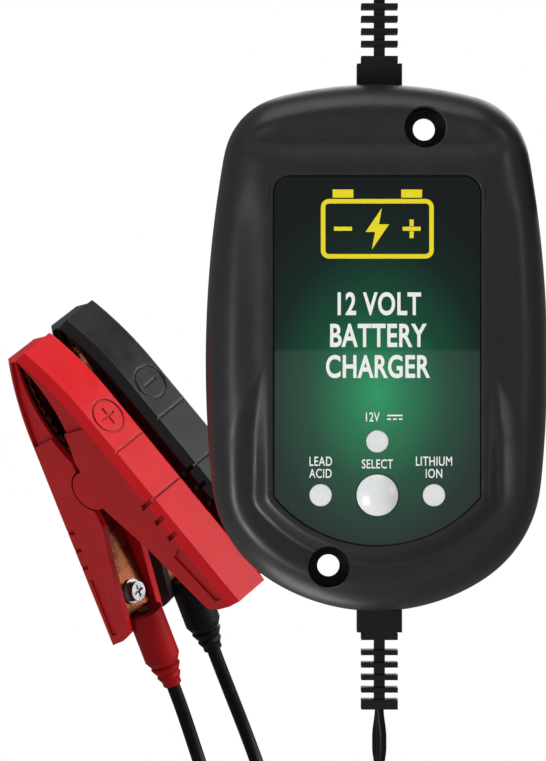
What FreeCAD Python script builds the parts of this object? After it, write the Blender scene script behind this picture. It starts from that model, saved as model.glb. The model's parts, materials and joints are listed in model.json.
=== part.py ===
import FreeCAD, Part
import math
import os
import re

import Sketcher
from FreeCAD import Placement, Rotation, Vector

# A wall-hung 12 V battery charger with its two battery clamps and its mains plug.
# +Z is up, -Y is the front, and the origin is the middle of the flat back face. Millimetres.
#
# Every size is a cell of the sheet below. A size is written as an expression of those cells.

SIZES = {
    # charger case: the outline is a chain of tangent arcs, mirrored left to right
    "case_half_width": 38.15,
    "case_top": 58.7,
    "case_bottom": 58.9,
    "case_depth": 38,
    "top_arc": 88,
    "shoulder_arc": 16.3,
    "side_arc": 260,
    "side_arc_drop": 3.3,
    "hip_arc": 28.4,
    "bottom_arc": 44,
    "case_edge_round": 10,
    "wall": 2.4,
    "front_wall": 2.6,
    "cover_thick": 2.5,
    "gasket_thick": 0.6,
    "gasket_inset": 0.8,
    "gasket_band": 1.5,
    "dish_half_width": 32.6,
    "dish_half_height": 31.4,
    "dish_round": 8,
    "dish_proud": 2.5,
    "dish_drop": 22,
    "island_lip": 0.9,
    "island_height": 5,
    "scoop_half_width": 31,
    "scoop_half_height": 8.5,
    "scoop_depth": 4,
    "scoop_height": 46.5,
    "scoop_proud": 0.2,
    "shelf_depth": 30.5,
    # label panel, with its three lamp windows and its button
    "label_half_width": 23.1,
    "label_top": 38.1,
    "label_corner": 4,
    "label_arc": 29.8,
    "label_arc_drop": 14.4,
    "label_recess": 0.8,
    "label_thick": 0.5,
    "label_gap": 0.35,
    "lamp_radius": 2.45,
    "lamp_flange": 0.8,
    "lamp_side": 12.55,
    "lamp_row": 32.8,
    "lamp_top_row": 20.9,
    "button_radius": 4.6,
    "button_proud": 1.5,
    "button_travel": 0.6,
    "running_gap": 0.07,
    "lamp_sink": 0.25,
    "led_radius": 1.45,
    "led_collar": 1.7,
    "led_collar_thick": 0.8,
    "led_stem": 2.2,
    "button_flange": 0.9,
    "button_flange_thick": 0.6,
    "button_stem": 1.5,
    "switch_half": 3,
    "switch_tall": 3.4,
    "switch_well": 1.8,
    "switch_floor": 1,
    "plunger_gap": 0.07,
    "plunger_rest": 0.1,
    # the two screw holes that hang the charger on a wall
    "hang_across": 10.7,
    "hang_up": 48.8,
    "hang_hole": 2.5,
    "hang_head": 4.6,
    "hang_boss": 6.2,
    "hang_seat": 25,
    "hang_web": 3,
    "hang_core": 4.2,
    # rear cover screws and the rating label
    "cover_screw_across": 29.4,
    "cover_screw_up": 33,
    "cover_screw_shank": 1.2,
    "cover_screw_head": 2.8,
    "cover_screw_reach": 12,
    "cover_screw_sink": 1.5,
    "cover_boss": 3.2,
    "cover_chamfer": 0.6,
    "screw_room": 0.3,
    "thread_gap": 0.05,
    "drive_half_long": 1.6,
    "drive_half_wide": 0.3,
    "rating_half_width": 16,
    "rating_low": 6,
    "rating_high": 34,
    "rating_thick": 0.3,
    "rating_gap": 0.15,
    "glue_thick": 0.05,
    # cord openings in the case ends, and the tongues of the cover that close them
    "cord_line": 0.8,
    "cord_depth": 19,
    "neck_half": 3,
    "slot_gap": 0.1,
    "slot_inside": 3.5,
    "slot_outside": 2,
    "tongue_inside": 2.3,
    "tongue_outside": 0.3,
    "gasket_notch": 6,
    # cords and their strain reliefs
    "cord_half_width": 1.0,
    "cord_half_depth": 2.2,
    "relief_block_half": 5.05,
    "relief_block_long": 5,
    "relief_half_depth": 4.2,
    "relief_collar_half": 4.1,
    "relief_collar_long": 1.4,
    "relief_step_gap": 0.3,
    "relief_rib_start": 9,
    "relief_rib_pitch": 2.8,
    "relief_rib_thick": 1.1,
    "relief_end_long": 2.2,
    "relief_length": 22.3,
    "relief_web_half": 1.2,
    "relief_web_inset": 0.8,
    "flange_seat": 3.6,
    "relief_flange_half": 4.5,
    "relief_flange_thick": 1.6,
    # mains plug
    "mains_bend": 27,
    "mains_straight": 3,
    "plug_half_width": 12.5,
    "plug_half_depth": 7.5,
    "plug_body_long": 22,
    "plug_nose_long": 14,
    "plug_drop": 16,
    "plug_shoulder": 7,
    "plug_shoulder_arc": 7.6,
    "plug_edge_round": 2.4,
    "nose_half_width": 4.9,
    "nose_half_depth": 4.4,
    "nose_step": 2.6,
    "nose_taper_width": 0.35,
    "nose_taper_depth": 0.25,
    "blade_half_gap": 6.35,
    "blade_thick": 1.5,
    "blade_half_wide": 3.17,
    "blade_long": 17.5,
    "blade_hole": 1.6,
    "blade_hole_up": 4,
    "blade_root": 8,
    # two-pin plug-and-socket pair in the output cord, each half the same moulding
    "pair_half_width": 7.5,
    "pair_half_depth": 3.6,
    "pair_base": 12,
    "pair_tongue": 11,
    "pair_nose": 5,
    "pair_top": 95.5,
    "pair_contact_across": 3.75,
    "pair_gap": 0.2,
    "pair_split": 0.1,
    "pair_corner": 2,
    "pair_edge_round": 1.4,
    "pair_nose_half_width": 4,
    "pair_nose_half_depth": 2.9,
    "pair_groove_depth": 0.6,
    "pair_groove_width": 0.7,
    "pair_groove_pitch": 1.6,
    "pair_wire_across": 2,
    "pair_wire_in": 2,
    "pin_point_radius": 0.5,
    "pin_point_long": 0.8,
    "pin_radius": 1.2,
    "socket_radius": 1.9,
    "contact_gap": 0.05,
    # circuit board
    "board_half_width": 25.4,
    "board_half_height": 41,
    "board_thick": 1.6,
    "board_post": 1.0,
    "board_screw_across": 22,
    "board_screw_up": 36,
    "board_screw_shank": 1.1,
    "board_screw_head": 2.2,
    "pad_lift": 0.1,
    "board_pilot": 3,
    "lead_radius": 0.4,
    "lead_pitch": 2.54,
    "inner_wire_radius": 0.75,
    # clamps: the pose of a clamp, and the place of its pivot
    "clamp_yaw": -161.6,
    "clamp_pitch": -58.2,
    "clamp_roll": -62.3,
    "clamp_left": 61.2,
    "clamp_behind": 6.3,
    "clamp_down": 29.6,
    "clamp_spacing": 16.5,
    # lever: x runs from the pivot to the tip, z outwards, y along the pivot
    "lever_tilt": 14,
    "grip_half_width": 6.7,
    "grip_height": 13.2,
    "grip_tail": 41.2,
    "grip_tail_drop": 7.8,
    "grip_chamfer": 1.77,
    "grip_wall": 1.7,
    "grip_roof": 2.2,
    "crown_end": 14,
    "crown_height": 14.05,
    "crown_arc": 66,
    "nose_end": 33.2,
    "lip_reach": 7.2,
    "lip_arc": 36,
    "lobe_radius": 4.9,
    "lobe_room": 5.3,
    "heel_reach": 9.8,
    "heel_height": 0.53,
    "knee_reach": 18.1,
    "knee_height": 2.4,
    "hem_reach": 37.8,
    "hem_height": 5,
    # marks and grips on a lever
    "mark_reach": 10.4,
    "mark_radius": 4.3,
    "mark_line": 0.55,
    "mark_depth": 0.4,
    "mark_stroke": 2.2,
    "groove_reach": 2.7,
    "groove_width": 0.5,
    "grip_step_reach": 10.8,
    "notch_pitch": 4.6,
    "notch_width": 1.1,
    "notch_depth": 1.1,
    "cheek_reach": 14.2,
    "cheek_depth": 0.8,
    "cheek_rim": 2.1,
    "handle_panel_depth": 0.45,
    "handle_panel_top": 2.6,
    # jaws, pivot pin, spring, terminal
    "jaw_sheet": 1,
    "jaw_narrow": 3.5,
    "jaw_wide": 4.6,
    "ear_radius": 3.6,
    "pivot_radius": 1.5,
    "pivot_half_long": 4.92,
    "pivot_head": 2.4,
    "pivot_head_thick": 0.27,
    "pivot_hole": 1.55,
    "tooth_pitch": 2.6,
    "tooth_depth": 1.1,
    "tooth_first": 8,
    "tooth_count": 8,
    "bite_height": 1.5,
    "jaw_tail": 21,
    "tongue_inner": 6.2,
    "tongue_tail": 34.9,
    "coil_radius": 3,
    "coil_wire": 0.45,
    "coil_turns": 3,
    "coil_pitch": 0.92,
    "coil_leg": 8,
    "terminal_reach": 30,
    "terminal_head": 2.3,
    "terminal_shank": 1.45,
    "terminal_nut": 2.7,
    "terminal_nut_thick": 2,
    "terminal_washer": 2.9,
    "terminal_washer_thick": 0.6,
    "terminal_head_thick": 1.8,
    "terminal_drive_long": 1.5,
    # clamp wires and boots
    "wire_radius": 1.6,
    "wire_line": 4.4,
    "wire_start": 34.8,
    "boot_start": 35.2,
    "boot_end": 54.8,
    "boot_sleeve": 12.4,
    "boot_radius": 4.2,
    "boot_tip_radius": 2.2,
    "boot_ribs": 3,
    "boot_groove": 0.35,
    "boot_axis_near": 20,
    "boot_axis_far": 60,
}

CLAMPS = ("positive", "negative")
TWO_ENDS = (1, -1)
FOUR_CORNERS = tuple((x, z) for x in (1, -1) for z in (1, -1))

doc = FreeCAD.newDocument("BatteryCharger")
sheet = doc.addObject("Spreadsheet::Sheet", "Size")
subparts = []


# ---- helpers -------------------------------------------------------------------------------


def fill_sheet():
    for row, (name, value) in enumerate(SIZES.items(), start=1):
        sheet.set(f"A{row}", name)
        sheet.set(f"B{row}", str(value))
        sheet.setAlias(f"B{row}", name)
    doc.recompute()


def on_sheet(expression):
    """The expression with each size name turned into its cell's full name."""

    def full_name(found):
        word = found.group(0)
        return f"Size.{word}" if word in SIZES else word

    return re.sub(r"[a-z_]+", full_name, str(expression))


def number(expression):
    return float(sheet.evalExpression(on_sheet(expression)))


def bind(thing, **expressions):
    """Binds properties to expressions. A double underscore stands for a dot."""
    for name, expression in expressions.items():
        thing.setExpression(name.replace("__", "."), on_sheet(expression))
    return thing


def move(thing, x="0", y="0", z="0", rotation=None):
    if rotation is not None:
        thing.Placement = Placement(Vector(), rotation)
    return bind(thing, Placement__Base__x=x, Placement__Base__y=y, Placement__Base__z=z)


def block(x, y, z):
    """A box. Each argument is the (low, high) pair of expressions along that axis."""
    box = doc.addObject("Part::Box", "Block")
    spans = [f"({high}) - ({low})" for low, high in (x, y, z)]
    bind(box, Length=spans[0], Width=spans[1], Height=spans[2])
    return move(box, x[0], y[0], z[0])


TURN_TO = {
    "x": Rotation(Vector(0, 1, 0), 90),
    "y": Rotation(Vector(1, 0, 0), -90),
    "z": Rotation(),
}


def along(thing, axis, low, across):
    """Stands a round primitive on the given axis, with its base at low."""
    first, second = across
    places = {
        "x": (low, first, second),
        "y": (first, low, second),
        "z": (first, second, low),
    }
    return move(thing, *places[axis], rotation=TURN_TO[axis])


def rod(axis, radius, low, high, across=("0", "0")):
    cylinder = doc.addObject("Part::Cylinder", "Rod")
    bind(cylinder, Radius=radius, Height=f"({high}) - ({low})")
    return along(cylinder, axis, low, across)


def cone(axis, low_radius, high_radius, low, high, across=("0", "0")):
    taper = doc.addObject("Part::Cone", "Taper")
    bind(taper, Radius1=low_radius, Radius2=high_radius, Height=f"({high}) - ({low})")
    return along(taper, axis, low, across)


def ring(axis, ring_radius, round_radius, at, across=("0", "0")):
    torus = doc.addObject("Part::Torus", "Ring")
    bind(torus, Radius1=ring_radius, Radius2=round_radius)
    return along(torus, axis, at, across)


def ball(radius, x, y, z):
    sphere = doc.addObject("Part::Sphere", "Ball")
    bind(sphere, Radius=radius)
    return move(sphere, x, y, z)


def fuse(*pieces):
    joined = doc.addObject("Part::MultiFuse", "Joined")
    joined.Shapes = list(pieces)
    return joined


def cut(base, *tools):
    carved = doc.addObject("Part::Cut", "Carved")
    carved.Base = base
    carved.Tool = tools[0] if len(tools) == 1 else fuse(*tools)
    return carved


def common(first, second):
    shared = doc.addObject("Part::Common", "Shared")
    shared.Base = first
    shared.Tool = second
    return shared


def group(*pieces):
    """Separate solids of one node."""
    together = doc.addObject("Part::Compound", "Together")
    together.Links = list(pieces)
    return together


def hand_in(thing, label, placement=None):
    thing.Label = label
    if placement is not None:
        thing.Placement = placement
    subparts.append(thing)
    return thing


def new_body(name):
    return doc.addObject("PartDesign::Body", name)


def new_sketch(body, plane="XZ_Plane", forward="0"):
    """A sketch on one of the body's own planes. On XZ_Plane, forward counts towards -Y."""
    sketch = body.newObject("Sketcher::SketchObject", "Outline")
    origin_plane = [f for f in body.Origin.OriginFeatures if f.Role == plane][0]
    sketch.AttachmentSupport = [(origin_plane, "")]
    sketch.MapMode = "FlatFace"
    bind(sketch, AttachmentOffset__Base__z=forward)
    return sketch


def constrain(sketch, expression, kind, *references):
    """A dimension of a sketch, bound to its expression."""
    index = sketch.addConstraint(Sketcher.Constraint(kind, *references, number(expression)))
    bind(sketch, **{f"Constraints[{index}]": expression})


def pin_point(sketch, geometry, position, x, z):
    constrain(sketch, x, "DistanceX", -1, 1, geometry, position)
    constrain(sketch, z, "DistanceY", -1, 1, geometry, position)


def circle(sketch, radius, x="0", z="0"):
    middle = Vector(number(x), number(z), 0)
    index = sketch.addGeometry(Part.Circle(middle, Vector(0, 0, 1), number(radius)), False)
    constrain(sketch, radius, "Radius", index)
    pin_point(sketch, index, 3, x, z)


def arc_between(start, end, radius):
    """The short arc. A positive radius has its centre to the left of the way from start to end."""
    chord = end - start
    left = Vector(-chord.y, chord.x, 0).normalize()
    reach = math.sqrt(radius * radius - chord.Length**2 / 4)
    centre = (start + end) * 0.5 + left * math.copysign(reach, radius)
    first, last = (start, end) if radius > 0 else (end, start)
    first_angle = math.atan2(first.y - centre.y, first.x - centre.x)
    last_angle = math.atan2(last.y - centre.y, last.x - centre.x)
    whole = Part.Circle(centre, Vector(0, 0, 1), abs(radius))
    return Part.ArcOfCircle(whole, first_angle, last_angle)


def trace(sketch, corners):
    """A closed outline. A corner is (x, z), or (x, z, radius) where an arc leaves it."""
    points = [Vector(number(c[0]), number(c[1]), 0) for c in corners]
    starts, ends = [], []
    for i, corner in enumerate(corners):
        start, end = points[i], points[(i + 1) % len(points)]
        radius = number(corner[2]) if len(corner) == 3 else None
        if radius is None:
            index = sketch.addGeometry(Part.LineSegment(start, end), False)
        else:
            index = sketch.addGeometry(arc_between(start, end, radius), False)
        backwards = radius is not None and radius < 0
        starts.append((index, 2 if backwards else 1))
        ends.append((index, 1 if backwards else 2))
    for i, end in enumerate(ends):
        next_start = starts[(i + 1) % len(starts)]
        sketch.addConstraint(Sketcher.Constraint("Coincident", *end, *next_start))
    for i, corner in enumerate(corners):
        pin_point(sketch, *starts[i], corner[0], corner[1])
        if len(corner) == 3:
            constrain(sketch, f"abs({corner[2]})", "Radius", starts[i][0])


def pad(body, sketch, length, both_ways=False, towards_back=False):
    feature = body.newObject("PartDesign::Pad", "Pad")
    feature.Profile = sketch
    feature.SideType = "Symmetric" if both_ways else "One side"
    feature.Reversed = towards_back
    return bind(feature, Length=length)


def pocket(body, sketch, depth, both_ways=False, towards_front=False):
    """Cuts towards the back unless told otherwise."""
    feature = body.newObject("PartDesign::Pocket", "Pocket")
    feature.Profile = sketch
    feature.SideType = "Symmetric" if both_ways else "One side"
    feature.Reversed = towards_front
    return bind(feature, Length=depth)


def edge_names(feature, wanted):
    doc.recompute()
    edges = enumerate(feature.Shape.Edges, start=1)
    return [f"Edge{i}" for i, edge in edges if wanted(edge)]


def dress(body, kind, base, wanted, **sizes):
    """A fillet or chamfer of the base's edges that pass the test."""
    names = edge_names(base, wanted)
    feature = body.newObject(f"PartDesign::{kind}", kind)
    feature.Base = (base, names)
    return bind(feature, **sizes)


def pipe(points, radius):
    """A round solid along a smooth curve through the points."""
    curve = Part.BSplineCurve()
    curve.interpolate(points)
    path = Part.Wire([curve.toShape()])
    disc = Part.makeCircle(radius, points[0], curve.tangent(curve.FirstParameter)[0])
    return path.makePipeShell([Part.Wire([disc])], True, True)


def shape_feature(shape, placement=None):
    feature = doc.addObject("Part::Feature", "Piece")
    feature.Shape = shape
    if placement is not None:
        feature.Placement = placement
    return feature


# ---- the case ------------------------------------------------------------------------------


def touching_centre(first, first_reach, second, second_reach, right, up):
    """Where two circles cross, on the side that right and up point to."""
    way = second - first
    gap = way.Length
    reach = (first_reach**2 - second_reach**2 + gap**2) / (2 * gap)
    rise = math.sqrt(first_reach**2 - reach**2)
    foot = first + way * (reach / gap)
    aside = Vector(-way.y, way.x, 0) * (rise / gap)
    return max((foot + aside, foot - aside), key=lambda p: p.x * right + p.y * up)


def case_arcs(inset):
    """(centre, radius, centre's place on the sheet) of each arc, anticlockwise from the top."""
    top = (Vector(0, number("case_top - top_arc"), 0), number("top_arc"))
    bottom = (Vector(0, number("bottom_arc - case_bottom"), 0), number("bottom_arc"))
    arcs = [(top[0], top[1], ("0", "case_top - top_arc"), "top_arc")]
    sides = []
    for hand in (-1, 1):
        place = (f"{hand} * (case_half_width - side_arc)", "-side_arc_drop")
        centre = Vector(number(place[0]), number(place[1]), 0)
        radius = number("side_arc")
        corners = []
        for other, name, up in ((top, "shoulder_arc", 1), (bottom, "hip_arc", -1)):
            small = number(name)
            middle = touching_centre(
                other[0], other[1] - small, centre, radius - small, hand, up
            )
            corners.append((middle, small, None, name))
        sides.append((corners, (centre, radius, place, "side_arc")))
    (left_top, left_low), left = sides[0]
    (right_top, right_low), right = sides[1]
    arcs += [left_top, left, left_low]
    arcs.append((bottom[0], bottom[1], ("0", "bottom_arc - case_bottom"), "bottom_arc"))
    arcs += [right_low, right, right_top]
    return [(c, r - inset, place, name) for c, r, place, name in arcs]


def case_outline(sketch, inset="0"):
    """Eight tangent arcs. An inset outline keeps every centre and shortens each radius."""
    arcs = case_arcs(number(inset))
    meets = []
    for i, (centre, radius, _, _) in enumerate(arcs):
        after, after_radius = arcs[(i + 1) % len(arcs)][:2]
        big, small = (centre, after) if radius > after_radius else (after, centre)
        way = (small - big).normalize()
        meets.append(big + way * max(radius, after_radius))
    for i, (centre, radius, _, _) in enumerate(arcs):
        start, end = meets[i - 1], meets[i]
        first_angle = math.atan2(start.y - centre.y, start.x - centre.x)
        last_angle = math.atan2(end.y - centre.y, end.x - centre.x)
        whole = Part.Circle(centre, Vector(0, 0, 1), radius)
        sketch.addGeometry(Part.ArcOfCircle(whole, first_angle, last_angle), False)
    for i, (_, _, place, name) in enumerate(arcs):
        after = (i + 1) % len(arcs)
        sketch.addConstraint(Sketcher.Constraint("Tangent", i, 2, after, 1))
        constrain(sketch, f"{name} - ({inset})", "Radius", i)
        if place is not None:
            pin_point(sketch, i, 3, *place)


def label_outline(sketch, inset="0"):
    half = f"(label_half_width - ({inset}))"
    arc = f"(label_arc - ({inset}))"
    low = f"(-label_arc_drop - sqrt({arc} ^ 2 - {half} ^ 2))"
    top = f"(label_top - ({inset}))"
    corner = f"(label_corner - ({inset}))"
    trace(
        sketch,
        [
            (half, low),
            (half, f"{top} - {corner}", corner),
            (f"{half} - {corner}", top),
            (f"{corner} - {half}", top, corner),
            (f"-{half}", f"{top} - {corner}"),
            (f"-{half}", low, arc),
        ],
    )


HANG_HOLES = (("hang_across", "hang_up"), ("-hang_across", "-hang_up"))
LAMPS = {
    "charge": ("0", "-lamp_top_row"),
    "lead_acid": ("-lamp_side", "-lamp_row"),
    "lithium": ("lamp_side", "-lamp_row"),
}
COVER_SCREWS = [(f"{x} * cover_screw_across", f"{z} * cover_screw_up") for x, z in FOUR_CORNERS]
BOARD_SCREWS = [(f"{x} * board_screw_across", f"{z} * board_screw_up") for x, z in FOUR_CORNERS]


def circles(sketch, radius, places):
    for x, z in places:
        circle(sketch, radius, x, z)


def front_housing():
    body = new_body("Housing")
    open_edge = "cover_thick + gasket_thick"
    outline = new_sketch(body, forward=open_edge)
    case_outline(outline)
    shell = pad(body, outline, f"case_depth - ({open_edge})")
    front = -number("case_depth")
    dress(
        body,
        "Fillet",
        shell,
        lambda edge: abs(edge.BoundBox.YMin - front) + abs(edge.BoundBox.YMax - front) < 1e-6,
        Radius="case_edge_round",
    )

    scoop = body.newObject("PartDesign::SubtractiveEllipsoid", "Scoop")
    bind(scoop, Radius1="scoop_half_height", Radius2="scoop_half_width", Radius3="scoop_depth")
    move(scoop, y="-case_depth - scoop_proud", z="scoop_height")
    dish = body.newObject("PartDesign::SubtractiveEllipsoid", "Dish")
    bind(dish, Radius1="dish_half_height", Radius2="dish_half_width", Radius3="dish_round")
    move(dish, y="-case_depth - dish_proud", z="-dish_drop")
    island = new_sketch(body, forward="case_depth - island_height")
    label_outline(island, "-island_lip")
    pad(body, island, "island_height")

    hollow = new_sketch(body, forward=open_edge)
    case_outline(hollow, "wall")
    pocket(body, hollow, f"shelf_depth - ({open_edge})", towards_front=True)
    pulpit = new_sketch(body, forward="shelf_depth")
    label_outline(pulpit, "wall")
    pocket(body, pulpit, "case_depth - label_recess - front_wall - shelf_depth", towards_front=True)
    recess = new_sketch(body, forward="case_depth")
    label_outline(recess)
    pocket(body, recess, "label_recess")

    bosses = new_sketch(body, forward=open_edge)
    circles(bosses, "hang_boss", HANG_HOLES)
    pad(body, bosses, f"shelf_depth + 1 - ({open_edge})")
    screw_bosses = new_sketch(body, forward=open_edge)
    circles(screw_bosses, "cover_boss", COVER_SCREWS)
    pad(body, screw_bosses, f"shelf_depth + 1 - ({open_edge})")
    posts = new_sketch(body, forward="shelf_depth - board_post")
    circles(posts, "board_screw_head + 0.6", BOARD_SCREWS)
    pad(body, posts, "board_post")

    heads = new_sketch(body, forward="case_depth")
    circles(heads, "hang_head", HANG_HOLES)
    pocket(body, heads, "case_depth - hang_seat")
    cores = new_sketch(body, forward=open_edge)
    circles(cores, "hang_core", HANG_HOLES)
    pocket(body, cores, f"hang_seat - hang_web - ({open_edge})", towards_front=True)
    holes = new_sketch(body, forward="case_depth")
    circles(holes, "hang_hole", HANG_HOLES)
    circles(holes, "lamp_radius + running_gap", LAMPS.values())
    circle(holes, "button_radius + running_gap", "0", "-lamp_row")
    pocket(body, holes, "case_depth - 0.5 * shelf_depth")
    cover_pilots = new_sketch(body, forward=open_edge)
    circles(cover_pilots, "cover_screw_shank + thread_gap", COVER_SCREWS)
    pocket(body, cover_pilots, "cover_screw_reach", towards_front=True)
    board_pilots = new_sketch(body, forward="shelf_depth - board_post")
    circles(board_pilots, "board_screw_shank + thread_gap", BOARD_SCREWS)
    pocket(body, board_pilots, "board_pilot", towards_front=True)

    slots = [cord_slot(end, "neck_half + slot_gap", open_edge) for end in TWO_ENDS]
    hand_in(cut(body, *slots), "front_housing")


def end_span(end, low, high):
    """A stretch counted outwards from the case's top end (1) or bottom end (-1)."""
    if end > 0:
        return (f"case_top + {low}", f"case_top + {high}")
    return (f"-case_bottom - ({high})", f"-case_bottom - ({low})")


def cord_slot(end, half_width, low_depth):
    """The notch in a case end that lets a cord's neck in from the back."""
    return block(
        (f"cord_line - ({half_width})", f"cord_line + {half_width}"),
        (f"-cord_depth - ({half_width})", f"-({low_depth})"),
        end_span(end, "-slot_inside", "slot_outside"),
    )


def cover_tongue(end):
    """The finger of the rear cover that fills a cord slot behind the neck."""
    return block(
        ("cord_line - neck_half", "cord_line + neck_half"),
        ("-cord_depth + neck_half + slot_gap", "-cover_thick"),
        end_span(end, "-tongue_inside", "-tongue_outside"),
    )


def rear_cover():
    body = new_body("Cover")
    outline = new_sketch(body)
    case_outline(outline)
    plate = pad(body, outline, "cover_thick")
    dress(
        body,
        "Chamfer",
        plate,
        lambda edge: abs(edge.BoundBox.YMin) + abs(edge.BoundBox.YMax) < 1e-6,
        Size="cover_chamfer",
    )
    holes = new_sketch(body)
    circles(holes, "hang_core", HANG_HOLES)
    circles(holes, "cover_screw_shank + screw_room", COVER_SCREWS)
    pocket(body, holes, "cover_thick", towards_front=True)
    label_seat = new_sketch(body)
    rating_outline(label_seat, "0")
    pocket(body, label_seat, "rating_thick", towards_front=True)
    foot = "cover_screw_shank + screw_room"
    sinks = [
        cone("y", foot, "cover_screw_head", "-cover_screw_sink", "0", place)
        for place in COVER_SCREWS
    ]
    plate = cut(body, *sinks)
    tongues = [cover_tongue(end) for end in TWO_ENDS]
    hand_in(fuse(plate, *tongues), "rear_cover")


def rating_outline(sketch, inset):
    half = f"rating_half_width - {inset}"
    low = f"rating_low + {inset}"
    high = f"rating_high - {inset}"
    trace(sketch, [(f"-({half})", low), (half, low), (half, high), (f"-({half})", high)])


def rating_label():
    body = new_body("RatingLabel")
    outline = new_sketch(body, forward="glue_thick")
    rating_outline(outline, "rating_gap")
    pad(body, outline, "rating_thick - glue_thick")
    hand_in(body, "rating_label")


def housing_gasket():
    body = new_body("Gasket")
    outline = new_sketch(body, forward="cover_thick")
    case_outline(outline, "gasket_inset")
    pad(body, outline, "gasket_thick")
    inside = new_sketch(body, forward="cover_thick")
    case_outline(inside, "gasket_inset + gasket_band")
    pocket(body, inside, "gasket_thick", towards_front=True)
    gaps = [
        block(
            ("cord_line - neck_half - slot_gap", "cord_line + neck_half + slot_gap"),
            ("-cover_thick - gasket_thick", "-cover_thick"),
            end_span(end, "-gasket_notch", "0"),
        )
        for end in TWO_ENDS
    ]
    hand_in(cut(body, *gaps), "housing_gasket")


def countersunk_screw(place):
    shank = rod("y", "cover_screw_shank", "-cover_thick - cover_screw_reach + 1", "-1", place)
    head = cone("y", "cover_screw_shank", "cover_screw_head - 0.1", "-1.4", "-0.1", place)
    arms = ("drive_half_long", "drive_half_wide")
    slots = [
        block(span(place[0], a), ("-0.9", "0"), span(place[1], b)) for a, b in (arms, arms[::-1])
    ]
    return cut(fuse(shank, head), *slots)


def rear_cover_screws():
    hand_in(group(*[countersunk_screw(place) for place in COVER_SCREWS]), "rear_cover_screws")


# ---- the front panel -----------------------------------------------------------------------


def label_panel():
    body = new_body("Label")
    outline = new_sketch(body, forward="case_depth - label_recess")
    label_outline(outline, "label_gap")
    pad(body, outline, "label_thick")
    holes = new_sketch(body, forward="case_depth - label_recess")
    circles(holes, "lamp_radius + 0.05", LAMPS.values())
    circle(holes, "button_radius + 0.15", "0", "-lamp_row")
    pocket(body, holes, "label_thick", towards_front=True)
    hand_in(body, "label_panel")


def lamp_lens(name, place):
    inner_face = "-case_depth + label_recess + front_wall"
    window = rod("y", "lamp_radius", "-case_depth + lamp_sink", inner_face, place)
    flange = rod(
        "y", "lamp_radius + lamp_flange", inner_face, f"{inner_face} + lamp_flange", place
    )
    hand_in(fuse(window, flange), f"{name}_led_lens")


def indicator_leds():
    leds = []
    board_front = "-shelf_depth + board_post"
    for place in LAMPS.values():
        top = f"{board_front} - led_stem"
        collar = rod("y", "led_collar", f"{board_front} - led_collar_thick", board_front, place)
        stem = rod("y", "led_radius", top, board_front, place)
        dome = ball("led_radius", place[0], top, place[1])
        leds.append(fuse(collar, stem, dome))
    hand_in(group(*leds), "indicator_leds")


def select_button():
    place = ("0", "-lamp_row")
    inner_face = "-case_depth + label_recess + front_wall"
    outer = "-case_depth - button_proud"
    barrel = rod("y", "button_radius", "-case_depth - 0.1", inner_face, place)
    dome_radius = "(button_radius ^ 2 + button_proud ^ 2) / (2 * button_proud)"
    dome = ball(dome_radius, "0", f"{outer} + {dome_radius}", "-lamp_row")
    cap = common(
        dome, rod("y", "button_radius", f"{outer} - 1", "-case_depth + 0.2", place)
    )
    flange_back = f"{inner_face} + button_flange_thick"
    flange = rod("y", "button_radius + button_flange", inner_face, flange_back, place)
    stem = rod("y", "button_stem", inner_face, "-shelf_depth - switch_tall", place)
    hand_in(fuse(barrel, cap, flange, stem), "select_button")


def button_switch():
    board_front = "-shelf_depth + board_post"
    top = f"{board_front} - switch_tall"
    case = block(span("0", "switch_half"), (top, board_front), span("-lamp_row", "switch_half"))
    well = rod("y", "switch_well", top, f"{board_front} - switch_floor", ("0", "-lamp_row"))
    hand_in(cut(case, well), "button_switch")


def switch_plunger():
    board_front = "-shelf_depth + board_post"
    rest = f"{board_front} - switch_floor - button_travel - plunger_rest"
    radius = "switch_well - plunger_gap"
    tip = rod("y", radius, "-shelf_depth - switch_tall", rest, ("0", "-lamp_row"))
    hand_in(tip, "switch_plunger")


# ---- the circuit board ---------------------------------------------------------------------


def span(middle, half):
    return (f"{middle} - ({half})", f"{middle} + {half}")


BOARD_BACK = "-shelf_depth + board_post + board_thick"


def on_board(x, z, half_width, half_height, tall):
    """A box that stands on the board's back face. The pins are left out."""
    return block(
        span(x, half_width), (f"{BOARD_BACK} + pad_lift", f"{BOARD_BACK} + {tall}"),
        span(z, half_height),
    )


def circuit_board():
    body = new_body("Board")
    outline = new_sketch(body, forward="shelf_depth - board_post - board_thick")
    half, high = "board_half_width", "board_half_height"
    trace(outline, [(f"-{half}", f"-{high}"), (half, f"-{high}"), (half, high), (f"-{half}", high)])
    pad(body, outline, "board_thick")
    holes = new_sketch(body, forward="shelf_depth - board_post - board_thick")
    circles(holes, "board_screw_shank + 0.2", BOARD_SCREWS)
    pocket(body, holes, "board_thick", towards_front=True)
    hand_in(body, "circuit_board")


def circuit_board_screws():
    screws = []
    for place in BOARD_SCREWS:
        shank = rod("y", "board_screw_shank", "-shelf_depth - 1.8", BOARD_BACK, place)
        head = rod("y", "board_screw_head", BOARD_BACK, f"{BOARD_BACK} + 1.4", place)
        slot = block(
            span(place[0], "1.5"), (f"{BOARD_BACK} + 0.7", f"{BOARD_BACK} + 1.5"),
            span(place[1], "0.3"),
        )
        screws.append(cut(fuse(shank, head), slot))
    hand_in(group(*screws), "circuit_board_screws")


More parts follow.
